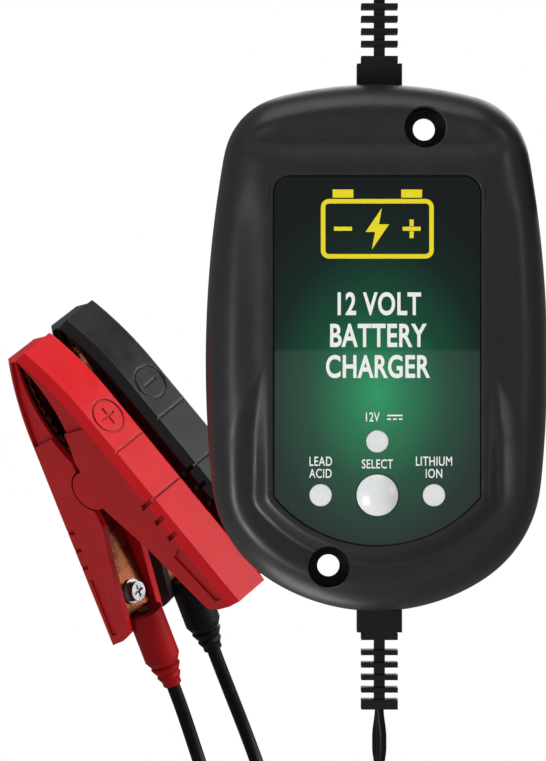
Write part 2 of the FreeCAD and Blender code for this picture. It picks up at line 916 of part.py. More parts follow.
def transformer():
    """Two E halves of ferrite as one core, round a taped bobbin on the middle leg."""
    x, z = "4", "-2"
    core_deep = (f"{BOARD_BACK} + 3.2", f"{BOARD_BACK} + 15.2")
    core = block(span(x, "10"), core_deep, span(z, "9.5"))
    windows = [
        block(span(f"{x} + {hand} * 5.25", "2.25"), (core_deep[0] + " - 1", core_deep[1] + " + 1"),
              span(z, "6.5"))
        for hand in TWO_ENDS
    ]
    hand_in(cut(core, *windows), "transformer_core")
    bobbin = block(span(x, "7.3"), (f"{BOARD_BACK} + 0.6", f"{BOARD_BACK} + 17.8"), span(z, "6.3"))
    leg_room = block(
        span(x, "3.1"), (core_deep[0] + " - 0.1", core_deep[1] + " + 0.1"), span(z, "7")
    )
    hand_in(cut(bobbin, leg_room), "transformer_winding")


def capacitor(label, x, z, radius, tall):
    can = rod("y", radius, f"{BOARD_BACK} + pad_lift", f"{BOARD_BACK} + {tall}", (x, z))
    crimp = ring("y", f"{radius} + 0.25", "0.5", f"{BOARD_BACK} + 2.2", (x, z))
    hand_in(cut(can, crimp), label)


def line_choke():
    core = ring("z", "5.2", "2.3", "29", ("-15", f"{BOARD_BACK} + 7.8"))
    hand_in(core, "line_choke")


def power_devices():
    """Two tab packages stand against one bent aluminium sheet."""
    sheet_side = "-21.4"
    for label, z in (("switching_transistor", "10"), ("output_diode", "-12")):
        package = block(
            (f"{sheet_side} + 1.3", f"{sheet_side} + 5.8"),
            (f"{BOARD_BACK} + 4", f"{BOARD_BACK} + 13"), span(z, "5"),
        )
        tab = block(
            (f"{sheet_side}", f"{sheet_side} + 1.3"),
            (f"{BOARD_BACK} + 4", f"{BOARD_BACK} + 19.5"), span(z, "5"),
        )
        pins = [
            rod("y", "lead_radius", BOARD_BACK, f"{BOARD_BACK} + 5",
                (f"{sheet_side} + 2.6", f"{z} + {step} * lead_pitch"))
            for step in (-1, 0, 1)
        ]
        hole = rod("x", "1.8", f"{sheet_side} - 1", f"{sheet_side} + 2", (f"{BOARD_BACK} + 16.3", z))
        hand_in(cut(fuse(package, tab, *pins), hole), label)
    plate = block(
        (f"{sheet_side} - 1.5", sheet_side), (f"{BOARD_BACK} + 1", f"{BOARD_BACK} + 20.5"),
        span("-1", "18"),
    )
    lip = block(
        (f"{sheet_side} - 1.5", f"{sheet_side} + 6"),
        (f"{BOARD_BACK} + 20.5", f"{BOARD_BACK} + 22"), span("-1", "18"),
    )
    hand_in(fuse(plate, lip), "heat_sink")


# Place across and up the board, half width, half height, and height off the board.
BOXED_PARTS = {
    "safety_capacitor": ("17", "27", "3", "8", "13"),
    "bridge_rectifier": ("19.5", "12", "1.8", "5", "14"),
    "control_chip": ("-7", "-27.5", "3.2", "4.8", "4.2"),
    "optocoupler": ("4.5", "-18.5", "3.2", "2.4", "3.6"),
}


def small_parts():
    for label, place_and_size in BOXED_PARTS.items():
        hand_in(on_board(*place_and_size), label)
    tube = rod("x", "2.6", "-6", "13", (f"{BOARD_BACK} + 3.4", "33.4"))
    hand_in(tube, "mains_fuse")


def circuit_board_parts():
    capacitor("input_capacitor", "5", "22", "6.4", "21")
    capacitor("output_capacitor", "15", "-24", "5", "17")
    transformer()
    line_choke()
    power_devices()
    small_parts()


def inner_wires(label, end, board_z):
    """The two insulated wires from a cord's end inside the case to the board's back face."""
    wires = []
    case_end = number("case_top") if end > 0 else -number("case_bottom")
    neck = case_end - end * number("flange_seat + relief_flange_thick + 0.7")
    line, depth = number("cord_line"), -number("cord_depth")
    back = number(BOARD_BACK) + 1
    for hand in TWO_ENDS:
        points = [
            Vector(line, depth + hand * 1.1, neck),
            Vector(line + hand * 1.2, depth + hand * 0.9, neck - end * 3),
            Vector(line + hand * 3.2, back + 3.2, board_z + end * 1.2),
            Vector(line + hand * 3.6, back, board_z),
        ]
        wires.append(pipe(points, number("inner_wire_radius")))
    hand_in(shape_feature(Part.makeCompound(wires)), label)


# ---- cords ---------------------------------------------------------------------------------


def strain_relief(end, label):
    """Counted outwards from the case: block, step, ribs on a web, and an end block."""

    def section(half, low, high, half_depth="relief_half_depth"):
        return block(
            span("cord_line", half), span("-cord_depth", half_depth), end_span(end, low, high)
        )

    step_low = "relief_block_long + relief_step_gap"
    pieces = [
        section("relief_block_half", "0", "relief_block_long"),
        section("relief_collar_half - 0.5", "relief_block_long", step_low),
        section("relief_collar_half", step_low, f"{step_low} + relief_collar_long"),
        section("relief_collar_half", "relief_length - relief_end_long", "relief_length"),
        section("relief_web_half", "0", "relief_length", "relief_half_depth - relief_web_inset"),
        section("neck_half", "-flange_seat", "0", "neck_half"),
        section(
            "relief_flange_half", "-flange_seat - relief_flange_thick", "-flange_seat",
            "relief_flange_half",
        ),
    ]
    for rib in range(4):
        low = f"relief_rib_start + {rib} * relief_rib_pitch"
        pieces.append(section("relief_collar_half", low, f"{low} + relief_rib_thick"))
    bore = section("cord_half_width", "-12", "relief_length + 1", "cord_half_depth")
    hand_in(cut(fuse(*pieces), bore), label)


def flat_cord_outline(sketch, x):
    """Two touching round wires in one sleeve: a slot shape, thin from side to side."""
    half, deep = "cord_half_width", "cord_half_depth"
    trace(
        sketch,
        [
            (f"{x} - {half}", f"-cord_depth + {deep} - {half}"),
            (f"{x} - {half}", f"-cord_depth - {deep} + {half}", half),
            (f"{x}", f"-cord_depth - {deep}", half),
            (f"{x} + {half}", f"-cord_depth - {deep} + {half}"),
            (f"{x} + {half}", f"-cord_depth + {deep} - {half}", half),
            (f"{x}", f"-cord_depth + {deep}", half),
        ],
    )


def mains_cord():
    """Up out of the case, over in a half circle, and down into the plug."""
    body = new_body("MainsCord")
    start = "case_top - flange_seat - relief_flange_thick"
    section = new_sketch(body, "XY_Plane", start)
    flat_cord_outline(section, "cord_line")
    path = new_sketch(body, forward="cord_depth")
    rise = number("case_top + relief_length + mains_straight")
    left, right = number("cord_line"), number("cord_line + 2 * mains_bend")
    middle = Vector(number("cord_line + mains_bend"), rise, 0)
    low = rise - number("plug_drop") - 2
    path.addGeometry(
        [
            Part.LineSegment(Vector(left, number(start), 0), Vector(left, rise, 0)),
            Part.ArcOfCircle(
                Part.Circle(middle, Vector(0, 0, 1), number("mains_bend")), 0, math.pi
            ),
            Part.LineSegment(Vector(right, rise, 0), Vector(right, low, 0)),
        ],
        False,
    )
    path.addConstraint(Sketcher.Constraint("Tangent", 0, 2, 1, 2))
    path.addConstraint(Sketcher.Constraint("Tangent", 1, 1, 2, 1))
    pin_point(path, 0, 1, "cord_line", start)
    constrain(path, "case_top + relief_length + mains_straight", "DistanceY", -1, 1, 0, 2)
    constrain(path, "cord_line", "DistanceX", -1, 1, 0, 2)
    constrain(path, "mains_bend", "Radius", 1)
    path.addConstraint(Sketcher.Constraint("Vertical", 2))
    pin_low = "case_top + relief_length + mains_straight - plug_drop - 2"
    constrain(path, pin_low, "DistanceY", -1, 1, 2, 2)
    sweep = body.newObject("PartDesign::AdditivePipe", "Sweep")
    sweep.Profile = section
    sweep.Spine = (path, ["Edge1", "Edge2", "Edge3"])
    sweep.Mode = "Frenet"
    hand_in(body, "mains_cord")


PLUG_LINE = "cord_line + 2 * mains_bend"
PLUG_TOP = "case_top + relief_length + mains_straight - plug_drop"


def mains_plug_body():
    """A moulded body under a stepped nose, which holds the cord."""
    low = f"{PLUG_TOP} - plug_nose_long - plug_body_long"
    base_top = f"{PLUG_TOP} - plug_nose_long"
    body = new_body("Plug")
    outline = new_sketch(body, forward="cord_depth")
    half = "plug_half_width"
    trace(
        outline,
        [
            (f"{PLUG_LINE} - {half}", low),
            (f"{PLUG_LINE} + {half}", low),
            (f"{PLUG_LINE} + {half}", f"{base_top} - plug_shoulder", "plug_shoulder_arc"),
            (f"{PLUG_LINE} + {half} - plug_shoulder", base_top),
            (f"{PLUG_LINE} - {half} + plug_shoulder", base_top, "plug_shoulder_arc"),
            (f"{PLUG_LINE} - {half}", f"{base_top} - plug_shoulder"),
        ],
    )
    block_pad = pad(body, outline, "2 * plug_half_depth", both_ways=True)
    flat_edges = is_front_or_back_edge("plug_half_depth")
    dress(body, "Fillet", block_pad, flat_edges, Radius="plug_edge_round")
    nose = []
    for step in range(1, 6):
        top = f"{base_top} + {step} * nose_step"
        nose.append(
            block(
                span(PLUG_LINE, f"nose_half_width - {step} * nose_taper_width"),
                span("-cord_depth", f"nose_half_depth - {step} * nose_taper_depth"),
                (f"{top} - 1.5", f"{top} + 0.2"),
            )
        )
    core = block(
        span(PLUG_LINE, "cord_half_width + 1"), span("-cord_depth", "cord_half_depth + 0.6"),
        (f"{base_top} - 1", PLUG_TOP),
    )
    bore = block(
        span(PLUG_LINE, "cord_half_width"), span("-cord_depth", "cord_half_depth"),
        (f"{PLUG_TOP} - 2", f"{PLUG_TOP} + 1"),
    )
    slots = [blade_block(hand, f"{low} - 1", f"{low} + blade_root") for hand in TWO_ENDS]
    hand_in(cut(fuse(body, *nose, core), bore, *slots), "mains_plug_body")


def is_front_or_back_edge(half_depth):
    """True of the edges that run round the front and back faces of a pad on the cord's plane."""
    middle = -number("cord_depth")
    reach = number(half_depth)

    def wanted(edge):
        box = edge.BoundBox
        flat = box.YMax - box.YMin < 1e-6
        return flat and abs(abs(box.YMin - middle) - reach) < 1e-6

    return wanted


def blade_block(hand, low, high):
    x = f"{PLUG_LINE} + {hand} * blade_half_gap"
    return block(span(x, "blade_thick / 2"), span("-cord_depth", "blade_half_wide"), (low, high))


def mains_plug_blades():
    low = f"{PLUG_TOP} - plug_nose_long - plug_body_long"
    blades = []
    for hand in TWO_ENDS:
        blade = blade_block(hand, f"{low} - blade_long", f"{low} + blade_root")
        x = f"{PLUG_LINE} + {hand} * blade_half_gap"
        hole = rod(
            "x", "blade_hole", f"{x} - 2", f"{x} + 2",
            ("-cord_depth", f"{low} - blade_long + blade_hole_up"),
        )
        blades.append(cut(blade, hole))
    hand_in(group(*blades), "mains_plug_blades")


def output_cord():
    body = new_body("OutputCord")
    start = "flange_seat + relief_flange_thick - case_bottom"
    section = new_sketch(body, "XY_Plane", start)
    flat_cord_outline(section, "cord_line")
    pad(body, section, f"({start}) + pair_top + pair_wire_in", towards_back=True)
    hand_in(body, "output_cord")


# ---- the plug-and-socket pair --------------------------------------------------------------


PAIR_MIDDLE = "-pair_top - pair_nose - pair_base"


def pair_placement(half):
    """Each half's own frame has +z towards its mate. The upper half is turned over."""
    x, y = number("cord_line"), -number("cord_depth")
    if half == "upper":
        return Placement(Vector(x, y, number(PAIR_MIDDLE)), Rotation(Vector(0, 1, 0), 180))
    z = number(f"{PAIR_MIDDLE} - pair_tongue - pair_gap")
    return Placement(Vector(x, y, z), Rotation())


def connector_shell(half, label):
    """Base, cord nose, and a tongue on one side that holds the socket contact."""
    side, deep = "pair_half_width", "pair_half_depth"
    body = new_body("Connector")
    outline = new_sketch(body)
    trace(
        outline,
        [
            (f"-{side}", "pair_corner - pair_base"),
            (f"pair_corner - {side}", "-pair_base"),
            (f"{side} - pair_corner", "-pair_base"),
            (side, "pair_corner - pair_base"),
            (side, "pair_tongue"),
            ("pair_split", "pair_tongue"),
            ("pair_split", "0"),
            (f"-{side}", "0"),
        ],
    )
    block_pad = pad(body, outline, f"2 * {deep}", both_ways=True)

    def outer_edge(edge):
        box = edge.BoundBox
        flat = box.YMax - box.YMin < 1e-6
        return flat and box.ZMax - box.ZMin > number("pair_base")

    dress(body, "Fillet", block_pad, outer_edge, Radius="pair_edge_round")
    wide, thick = "pair_nose_half_width", "pair_nose_half_depth"
    nose = block(span("0", wide), span("0", thick), ("-pair_base - pair_nose", "1 - pair_base"))
    core = block(
        span("0", f"{wide} - pair_groove_depth"), span("0", f"{thick} - pair_groove_depth"),
        ("-pair_base - pair_nose", "-pair_base"),
    )
    grooves = []
    for step in (1, 2):
        low = f"-pair_base - {step} * pair_groove_pitch"
        band = block(
            span("0", f"{wide} + 1"), span("0", f"{thick} + 1"), (low, f"{low} + pair_groove_width")
        )
        grooves.append(cut(band, core))
    across = "pair_contact_across"
    socket_well = rod("z", "socket_radius", "1 - pair_base", "pair_tongue + 1", (across, "0"))
    pin_well = rod("z", "pin_radius", "1 - pair_base", "1", (f"-{across}", "0"))
    entry = ("-pair_base - pair_nose - 1", "-pair_base - pair_nose + pair_wire_in")
    if half == "upper":
        entries = [block(span("0", "cord_half_width"), span("0", "cord_half_depth"), entry)]
    else:
        entries = [
            rod("z", "wire_radius", *entry, (f"{hand} * pair_wire_across", "0"))
            for hand in TWO_ENDS
        ]
    shell = cut(fuse(body, nose), socket_well, pin_well, *grooves, *entries)
    hand_in(shell, label, pair_placement(half))


def connector_contacts(half, label):
    across = "pair_contact_across"
    tube = cut(
        rod("z", "socket_radius", "1 - pair_base", "pair_tongue - 0.6", (across, "0")),
        rod("z", "pin_radius + contact_gap", "-1", "pair_tongue", (across, "0")),
    )
    tip = "pair_tongue - 1.5"
    pin = rod("z", "pin_radius", "1 - pair_base", tip, (f"-{across}", "0"))
    point = cone(
        "z", "pin_radius", "pin_point_radius", tip, f"{tip} + pin_point_long", (f"-{across}", "0")
    )
    hand_in(group(tube, fuse(pin, point)), label, pair_placement(half))


# ---- the clamps ----------------------------------------------------------------------------


def clamp_placement(side):
    """The clamp's own frame: x to the tip, y along the pivot towards the viewer, z up."""
    turn = Rotation(number("clamp_yaw"), number("clamp_pitch"), number("clamp_roll"))
    pivot = Vector(-number("clamp_left"), number("clamp_behind"), -number("clamp_down"))
    if side == "negative":
        pivot -= turn.multVec(Vector(0, number("clamp_spacing"), 0))
    return Placement(pivot, turn)


def lever_placement(side, which):
    """The lever's own frame, tilted out from the clamp's. The lower one is turned over."""
    turned_over = Rotation(Vector(1, 0, 0), 0 if which == "upper" else 180)
    tilt = Rotation(Vector(0, 1, 0), number("lever_tilt"))
    return clamp_placement(side) * Placement(Vector(), turned_over * tilt)


def closing_line(reach):
    """How far out from the lever's axis the two jaws meet, at this reach from the pivot."""
    return f"({reach}) * tan(lever_tilt)"


def crown_height(reach):
    """The outer face over the jaw: an arc that runs on from the straight handle."""
    slope = "atan((crown_height - grip_height) / (crown_end + grip_tail))"
    middle = f"(crown_end + crown_arc * sin({slope}))"
    foot = f"(crown_height - crown_arc * cos({slope}))"
    return f"({foot} + sqrt(crown_arc ^ 2 - ({reach} - {middle}) ^ 2))"


def grip_side_outline(sketch, which):
    """Side view of a lever. The upper one has a lobe round the pivot, and the lower makes room."""
    corners = [
        ("-grip_tail", "grip_height"),
        ("1.6 - grip_tail", "grip_tail_drop"),
        ("-hem_reach", "hem_height"),
        ("-knee_reach", "knee_height"),
        ("-heel_reach", "heel_height"),
    ]
    if which == "upper":
        corners += [
            ("-lobe_radius * cos(6)", "-lobe_radius * sin(6)", "lobe_radius"),
            ("0", "-lobe_radius", "lobe_radius"),
            ("lobe_radius * cos(20)", "lobe_radius * sin(20)"),
        ]
    else:
        corners += [
            ("-lobe_room * cos(11)", "lobe_room * sin(11)", "-lobe_room"),
            ("0", "lobe_room", "-lobe_room"),
            ("lobe_room * cos(24)", "lobe_room * sin(24)"),
        ]
    corners += [
        ("lip_reach", f"{closing_line('lip_reach')} + 0.5", "-lip_arc"),
        ("nose_end", f"{closing_line('nose_end')} + 0.15"),
        ("nose_end + 0.5", crown_height("nose_end + 0.5"), "crown_arc"),
        ("crown_end", "crown_height"),
    ]
    trace(sketch, corners)


def grip_inside(sketch, which):
    """The channel that holds the sheet metal. Only the upper lever's tail is closed."""
    tail = "2 - grip_tail" if which == "upper" else "-grip_tail - 1"
    trace(
        sketch,
        [
            (tail, "-lobe_radius - 1"),
            ("nose_end - 1.2", "-lobe_radius - 1"),
            ("nose_end - 1.2", f"{crown_height('nose_end')} - grip_roof + 0.4"),
            ("nose_end - 9", f"{crown_height('nose_end - 9')} - grip_roof"),
            ("crown_end", "crown_height - grip_roof"),
            (tail, "grip_height - grip_roof"),
        ],
    )


def grip_mark(body, side):
    """A sunk ring with a plus or a minus, the usual polarity sign."""
    sketch = new_sketch(body, "XY_Plane", "crown_height + 0.05")
    circle(sketch, "mark_radius", "mark_reach", "0")
    circle(sketch, "mark_radius - mark_line", "mark_reach", "0")
    pocket(body, sketch, "mark_depth")
    bar = new_sketch(body, "XY_Plane", "crown_height + 0.05")
    arm, half = "mark_stroke", "mark_line / 2"
    x = "mark_reach"
    across = [(f"{x} - {half}", f"-{arm}"), (f"{x} + {half}", f"-{arm}"),
              (f"{x} + {half}", arm), (f"{x} - {half}", arm)]
    if side == "negative":
        corners = across
    else:
        corners = [
            across[0], across[1], (f"{x} + {half}", f"-{half}"), (f"{x} + {arm}", f"-{half}"),
            (f"{x} + {arm}", half), (f"{x} + {half}", half), across[2], across[3],
            (f"{x} - {half}", half), (f"{x} - {arm}", half), (f"{x} - {arm}", f"-{half}"),
            (f"{x} - {half}", f"-{half}"),
        ]
    trace(bar, corners)
    pocket(body, bar, "mark_depth")


def grip_cheeks(body):
    """Each side is sunk below the rim, from the jaw's root to the nose."""
    for forward, to_front in (("grip_half_width", False), ("-grip_half_width", True)):
        cheek = new_sketch(body, forward=forward)
        trace(
            cheek,
            [
                ("cheek_reach + 0.7", "2"),
                ("nose_end + 2", "2"),
                ("nose_end + 2", f"{crown_height('nose_end + 2')} - cheek_rim"),
                ("nose_end - 9", f"{crown_height('nose_end - 9')} - cheek_rim"),
                ("cheek_reach - 2.6", "crown_height - cheek_rim"),
            ],
        )
        pocket(body, cheek, "cheek_depth", towards_front=to_front)
        panel = new_sketch(body, forward=forward)
        trace(
            panel,
            [
                ("3.5 - grip_tail", "grip_height - 4.4"),
                ("-knee_reach - 6", "grip_height - 5.6"),
                ("-knee_reach - 5", "grip_height - handle_panel_top"),
                ("3 - grip_tail", "grip_height - handle_panel_top"),
            ],
        )
        pocket(body, panel, "handle_panel_depth", towards_front=to_front)


def grip_cuts():
    """Two fine grooves across the crown, and three finger notches in each chamfer."""
    cuts = []
    for reach in ("groove_reach", "-grip_step_reach"):
        low = "crown_height - mark_depth" if reach == "groove_reach" else "grip_height"
        cuts.append(block(span(reach, "groove_width / 2"), ("-grip_half_width", "grip_half_width"),
                          (f"{low} - 0.1", "crown_height + 1")))
    for hand in TWO_ENDS:
        for step in range(3):
            x = f"-grip_step_reach - {step} * notch_pitch"
            edge = f"{hand} * (grip_half_width + 0.1 - notch_depth / 2)"
            cuts.append(block(span(x, "notch_width / 2"), span(edge, "notch_depth / 2"),
                              ("grip_height - 3.4", "grip_height")))
    return cuts


def grip(side, which):
    body = new_body("Grip")
    outline = new_sketch(body)
    grip_side_outline(outline, which)
    lever = pad(body, outline, "2 * grip_half_width", both_ways=True)
    reach = number("grip_half_width")
    nose = number(crown_height("nose_end + 0.5"))

    def crown_edge(edge):
        box = edge.BoundBox
        flat = box.YMax - box.YMin < 1e-6 and abs(abs(box.YMin) - reach) < 1e-6
        return flat and box.ZMin > nose - 1e-3

    dress(body, "Chamfer", lever, crown_edge, Size="grip_chamfer")
    inside = new_sketch(body)
    grip_inside(inside, which)
    pocket(body, inside, "2 * (grip_half_width - grip_wall)", both_ways=True)
    grip_cheeks(body)
    grip_mark(body, side)
    hand_in(cut(body, *grip_cuts()), f"{side}_{which}_grip", lever_placement(side, which))


def jaw_outline(sketch):
    """Side view of a jaw's flanges, with its teeth along the closing line."""
    corners = [
        ("-7", "grip_height - grip_roof - 0.2"),
        ("-7", "3"),
        ("-ear_radius", "0", "ear_radius"),
        ("0", "-ear_radius", "ear_radius"),
        ("ear_radius * cos(20)", "ear_radius * sin(20)"),
    ]
    count = int(number("tooth_count"))
    for i in range(count):
        middle = 4 * (i + 0.5) / count * (1 - (i + 0.5) / count)
        valley = f"tooth_first + {i} * tooth_pitch"
        tip = f"tooth_first + {i + 0.5} * tooth_pitch"
        lift = f"0.2 + bite_height * {round(middle, 3)}"
        corners.append((valley, f"{closing_line(valley)} + {lift} + tooth_depth"))
        corners.append((tip, f"{closing_line(tip)} + {lift}"))
    corners += [
        ("nose_end - 1.7", f"{closing_line('nose_end - 1.7')} + 0.25"),
        ("nose_end - 2.6", f"{crown_height('nose_end')} - grip_roof - 0.3"),
        ("nose_end - 9", f"{crown_height('nose_end - 9')} - grip_roof - 0.3"),
        ("crown_end", "crown_height - grip_roof - 0.2"),
    ]
    trace(sketch, corners)


def jaw(side, which):
    """A folded sheet jaw: a web, two toothed flanges with pivot ears, and a flat tongue."""
    half = "jaw_narrow" if which == "upper" else "jaw_wide"
    body = new_body("Jaw")
    outline = new_sketch(body)
    jaw_outline(outline)
    pad(body, outline, f"2 * {half}", both_ways=True)
    inside = new_sketch(body)
    web = "grip_height - grip_roof - 0.2 - jaw_sheet"
    trace(
        inside,
        [
            ("-9", "-ear_radius - 1"),
            ("nose_end + 1", "-ear_radius - 1"),
            ("nose_end + 1", "5"),
            ("nose_end - 3.4", f"{crown_height('nose_end')} - grip_roof - 1.1"),
            ("nose_end - 9", f"{crown_height('nose_end - 9')} - grip_roof - 1.3"),
            ("crown_end", "crown_height - grip_roof - 0.2 - jaw_sheet"),
            ("-9", web),
        ],
    )
    pocket(body, inside, f"2 * ({half} - jaw_sheet)", both_ways=True)
    bore = new_sketch(body, forward="8")
    circle(bore, "pivot_hole")
    pocket(body, bore, "16")
    tail = "tongue_tail" if which == "lower" else "jaw_tail"
    tongue = block((f"-{tail}", "-5"), span("0", f"{half} - 0.1"),
                   ("tongue_inner", "tongue_inner + jaw_sheet"))
    metal = fuse(body, tongue)
    if which == "lower":
        screw_hole = rod("z", "terminal_shank + 0.05", "tongue_inner - 2", "tongue_inner + 3",
                         ("-terminal_reach", "0"))
        metal = cut(metal, screw_hole)
    hand_in(metal, f"{side}_{which}_jaw", lever_placement(side, which))


def pivot_pin(side):
    """A rivet with a thin head outside each of the lower jaw's ears."""
    pin = rod("y", "pivot_radius", "-pivot_half_long", "pivot_half_long")
    heads = [
        rod("y", "pivot_head", low, f"{low} + pivot_head_thick")
        for low in ("-pivot_half_long", "pivot_half_long - pivot_head_thick")
    ]
    hand_in(fuse(pin, *heads), f"{side}_pivot_pin", clamp_placement(side))


def clamp_spring(side):
    """A torsion coil on the pin, with one straight leg along each lever's handle."""
    tilt, leg = number("lever_tilt"), number("coil_leg")
    wire, radius, pitch = number("coil_wire"), number("coil_radius"), number("coil_pitch")
    sweep = 360 * number("coil_turns") + 180 - 2 * tilt
    tall = pitch * sweep / 360
    helix = Part.makeLongHelix(pitch, tall, radius, 0, True)
    top_turn = Rotation(Vector(0, 0, 1), -sweep)
    first_way = Vector(0, -1, pitch / (2 * math.pi * radius)).normalize()
    last_way = top_turn.multVec(first_way)
    first = Vector(radius, 0, 0)
    last = top_turn.multVec(first) + Vector(0, 0, tall)
    path = Part.Wire(
        [
            Part.makeLine(first - first_way * leg, first),
            *helix.Edges,
            Part.makeLine(last, last + last_way * leg),
        ]
    )
    disc = Part.Wire([Part.makeCircle(wire, first - first_way * leg, first_way)])
    spring = path.makePipeShell([disc], True, False)
    to_pivot = Rotation(Vector(1, 0, 0), 90) * Rotation(Vector(0, 0, 1), 90 - tilt)
    placement = clamp_placement(side) * Placement(Vector(0, tall / 2, 0), to_pivot)
    hand_in(shape_feature(spring, placement), f"{side}_spring")


def terminal_screw(side):
    """Head, washer and nut on the lower tongue. The head faces the upper lever."""
    place = ("-terminal_reach", "0")
    under_head = "tongue_inner - terminal_washer_thick"
    top = f"{under_head} - terminal_head_thick"
    tongue_back = "tongue_inner + jaw_sheet"
    nut_back = f"{tongue_back} + terminal_nut_thick"
    washer = rod("z", "terminal_washer", under_head, "tongue_inner", place)
    head = rod("z", "terminal_head", top, under_head, place)
    shank = rod("z", "terminal_shank", under_head, f"{nut_back} + 0.6", place)
    nut = rod("z", "terminal_nut", tongue_back, nut_back, place)
    arms = ("terminal_drive_long", "drive_half_wide")
    slots = [
        block(span(place[0], a), span(place[1], b), (f"{top} - 0.6", f"{top} + 0.7"))
        for a, b in (arms, arms[::-1])
    ]
    screw = cut(fuse(washer, head, shank, nut), *slots)
    hand_in(screw, f"{side}_terminal_screw", lever_placement(side, "lower"))


def boot(side):
    """A sleeve on the wire's axis that ends in a short ribbed taper."""
    body = new_body("Boot")
    outline = new_sketch(body)
    line = "wire_line"
    corners = [
        ("-boot_end", f"{line} + wire_radius"),
        ("-boot_start", f"{line} + wire_radius"),
        ("-boot_start", f"{line} + boot_radius"),
        ("-boot_start - boot_sleeve", f"{line} + boot_radius"),
    ]
    ribs = int(number("boot_ribs"))
    taper = "(boot_end - boot_start - boot_sleeve)"
    for i in range(ribs):
        groove = f"{line} + boot_radius - {i + 1} / {ribs} * (boot_radius - boot_tip_radius)"
        start = f"-boot_start - boot_sleeve - {i} / {ribs} * {taper}"
        corners += [
            (f"{start} - 0.55 / {ribs} * {taper}", groove),
            (f"{start} - 0.7 / {ribs} * {taper}", f"{groove} - boot_groove * {ribs - 1 - i}"),
        ]
        if i < ribs - 1:
            corners.append((f"{start} - 1 / {ribs} * {taper}", groove))
    corners.append(("-boot_end", f"{line} + boot_tip_radius"))
    trace(outline, corners[::-1])
    axis = new_sketch(body)
    far, near = "-boot_axis_far", "-boot_axis_near"
    ends = [Vector(number(reach), number(line), 0) for reach in (far, near)]
    index = axis.addGeometry(Part.LineSegment(*ends), False)
    pin_point(axis, index, 1, far, line)
    pin_point(axis, index, 2, near, line)
    turned = body.newObject("PartDesign::Revolution", "Turned")
    turned.Profile = outline
    turned.ReferenceAxis = (axis, ["Edge1"])
    bind(turned, Angle="360")
    hand_in(body, f"{side}_boot", lever_placement(side, "lower"))


# Points of each wire's free bend, between its boot and the connector.
WIRE_WAYPOINTS = {
    "positive": (
        (-40.8, 33.0, -95.5), (-33.0, 29.0, -116.0), (-20.0, 11.0, -139.0),
        (-9.5, -6.5, -151.5), (-3.6, -15.5, -153.5),
    ),
    "negative": (
        (-28.6, 47.4, -93.5), (-20.0, 43.0, -116.0), (-8.5, 26.0, -138.0),
        (0.0, 5.0, -153.5), (2.6, -12.0, -156.0),
    ),
}


def clamp_wire(side):
    """From the lower tongue, out through the boot, round under the case and up into the pair."""
    radius = number("wire_radius")
    lever = lever_placement(side, "lower")
    line = number("wire_line")
    start = lever.multVec(Vector(-number("wire_start"), 0, line))
    leave = lever.multVec(Vector(-number("boot_end") - 2, 0, line))
    way = (leave - start).normalize()
    mate = pair_placement("lower")
    across = number("pair_wire_across") * (-1 if side == "positive" else 1)
    entry_low = -number("pair_base + pair_nose")
    entry = mate.multVec(Vector(across, 0, entry_low - 4))
    inside = mate.multVec(Vector(across, 0, entry_low + number("pair_wire_in")))
    points = [leave] + [Vector(*p) for p in WIRE_WAYPOINTS[side]] + [entry]
    curve = Part.BSplineCurve()
    curve.interpolate(Points=points, InitialTangent=way, FinalTangent=Vector(0, 0, 1))
    path = Part.Wire([
        Part.makeLine(start, leave), curve.toShape(), Part.makeLine(entry, inside)
    ])
    disc = Part.Wire([Part.makeCircle(radius, start, way)])
    wire = path.makePipeShell([disc], True, True)
    hand_in(shape_feature(wire), f"{side}_wire")


def clamp(side):
    for which in ("lower", "upper"):
        grip(side, which)
        jaw(side, which)
    pivot_pin(side)
    clamp_spring(side)
    terminal_screw(side)
    boot(side)
    clamp_wire(side)


# ---- build, check and write ----------------------------------------------------------------


def build():
    fill_sheet()
    front_housing()
    rear_cover()
    rating_label()
    housing_gasket()
    rear_cover_screws()
    label_panel()
    for name, place in LAMPS.items():
        lamp_lens(name, place)
    indicator_leds()
    select_button()
    button_switch()
    switch_plunger()
    circuit_board()
    circuit_board_screws()
    circuit_board_parts()
    inner_wires("mains_inner_wires", 1, 39.3)
    inner_wires("output_inner_wires", -1, -39.3)
    strain_relief(1, "mains_strain_relief")
    strain_relief(-1, "output_strain_relief")
    mains_cord()
    mains_plug_body()
    mains_plug_blades()
    output_cord()
    connector_shell("upper", "output_connector_shell")
    connector_contacts("upper", "output_connector_contacts")
    connector_shell("lower", "clamp_connector_shell")
    connector_contacts("lower", "clamp_connector_contacts")
    for side in CLAMPS:
        clamp(side)
    doc.recompute()


def check():
    """Stops with a list of everything that failed to compute or has no sound solid."""
    faults = [
        f"{thing.Name} ({thing.TypeId}): {thing.State}"
        for thing in doc.Objects
        if "Invalid" in thing.State or "Error" in thing.State
    ]
    for thing in subparts:
        shape = thing.Shape
        if shape.isNull() or not shape.isValid() or not shape.Solids:
            faults.append(f"{thing.Label} has no valid solid")
    if faults:
        raise SystemExit("\n".join(faults))


def write():
    os.makedirs("parts", exist_ok=True)
    for thing in subparts:
        thing.Shape.exportStep(f"parts/{thing.Label}.step")
        print(f"{thing.Label}: {len(thing.Shape.Solids)} solid(s), {thing.Shape.Volume:.1f} mm3")


build()
check()
write()
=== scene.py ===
"""Looks of the battery charger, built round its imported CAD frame. Metres, in the row's frame."""

import json
import math

import bmesh
import bpy
import numpy as np
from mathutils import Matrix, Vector
from mathutils.geometry import convex_hull_2d

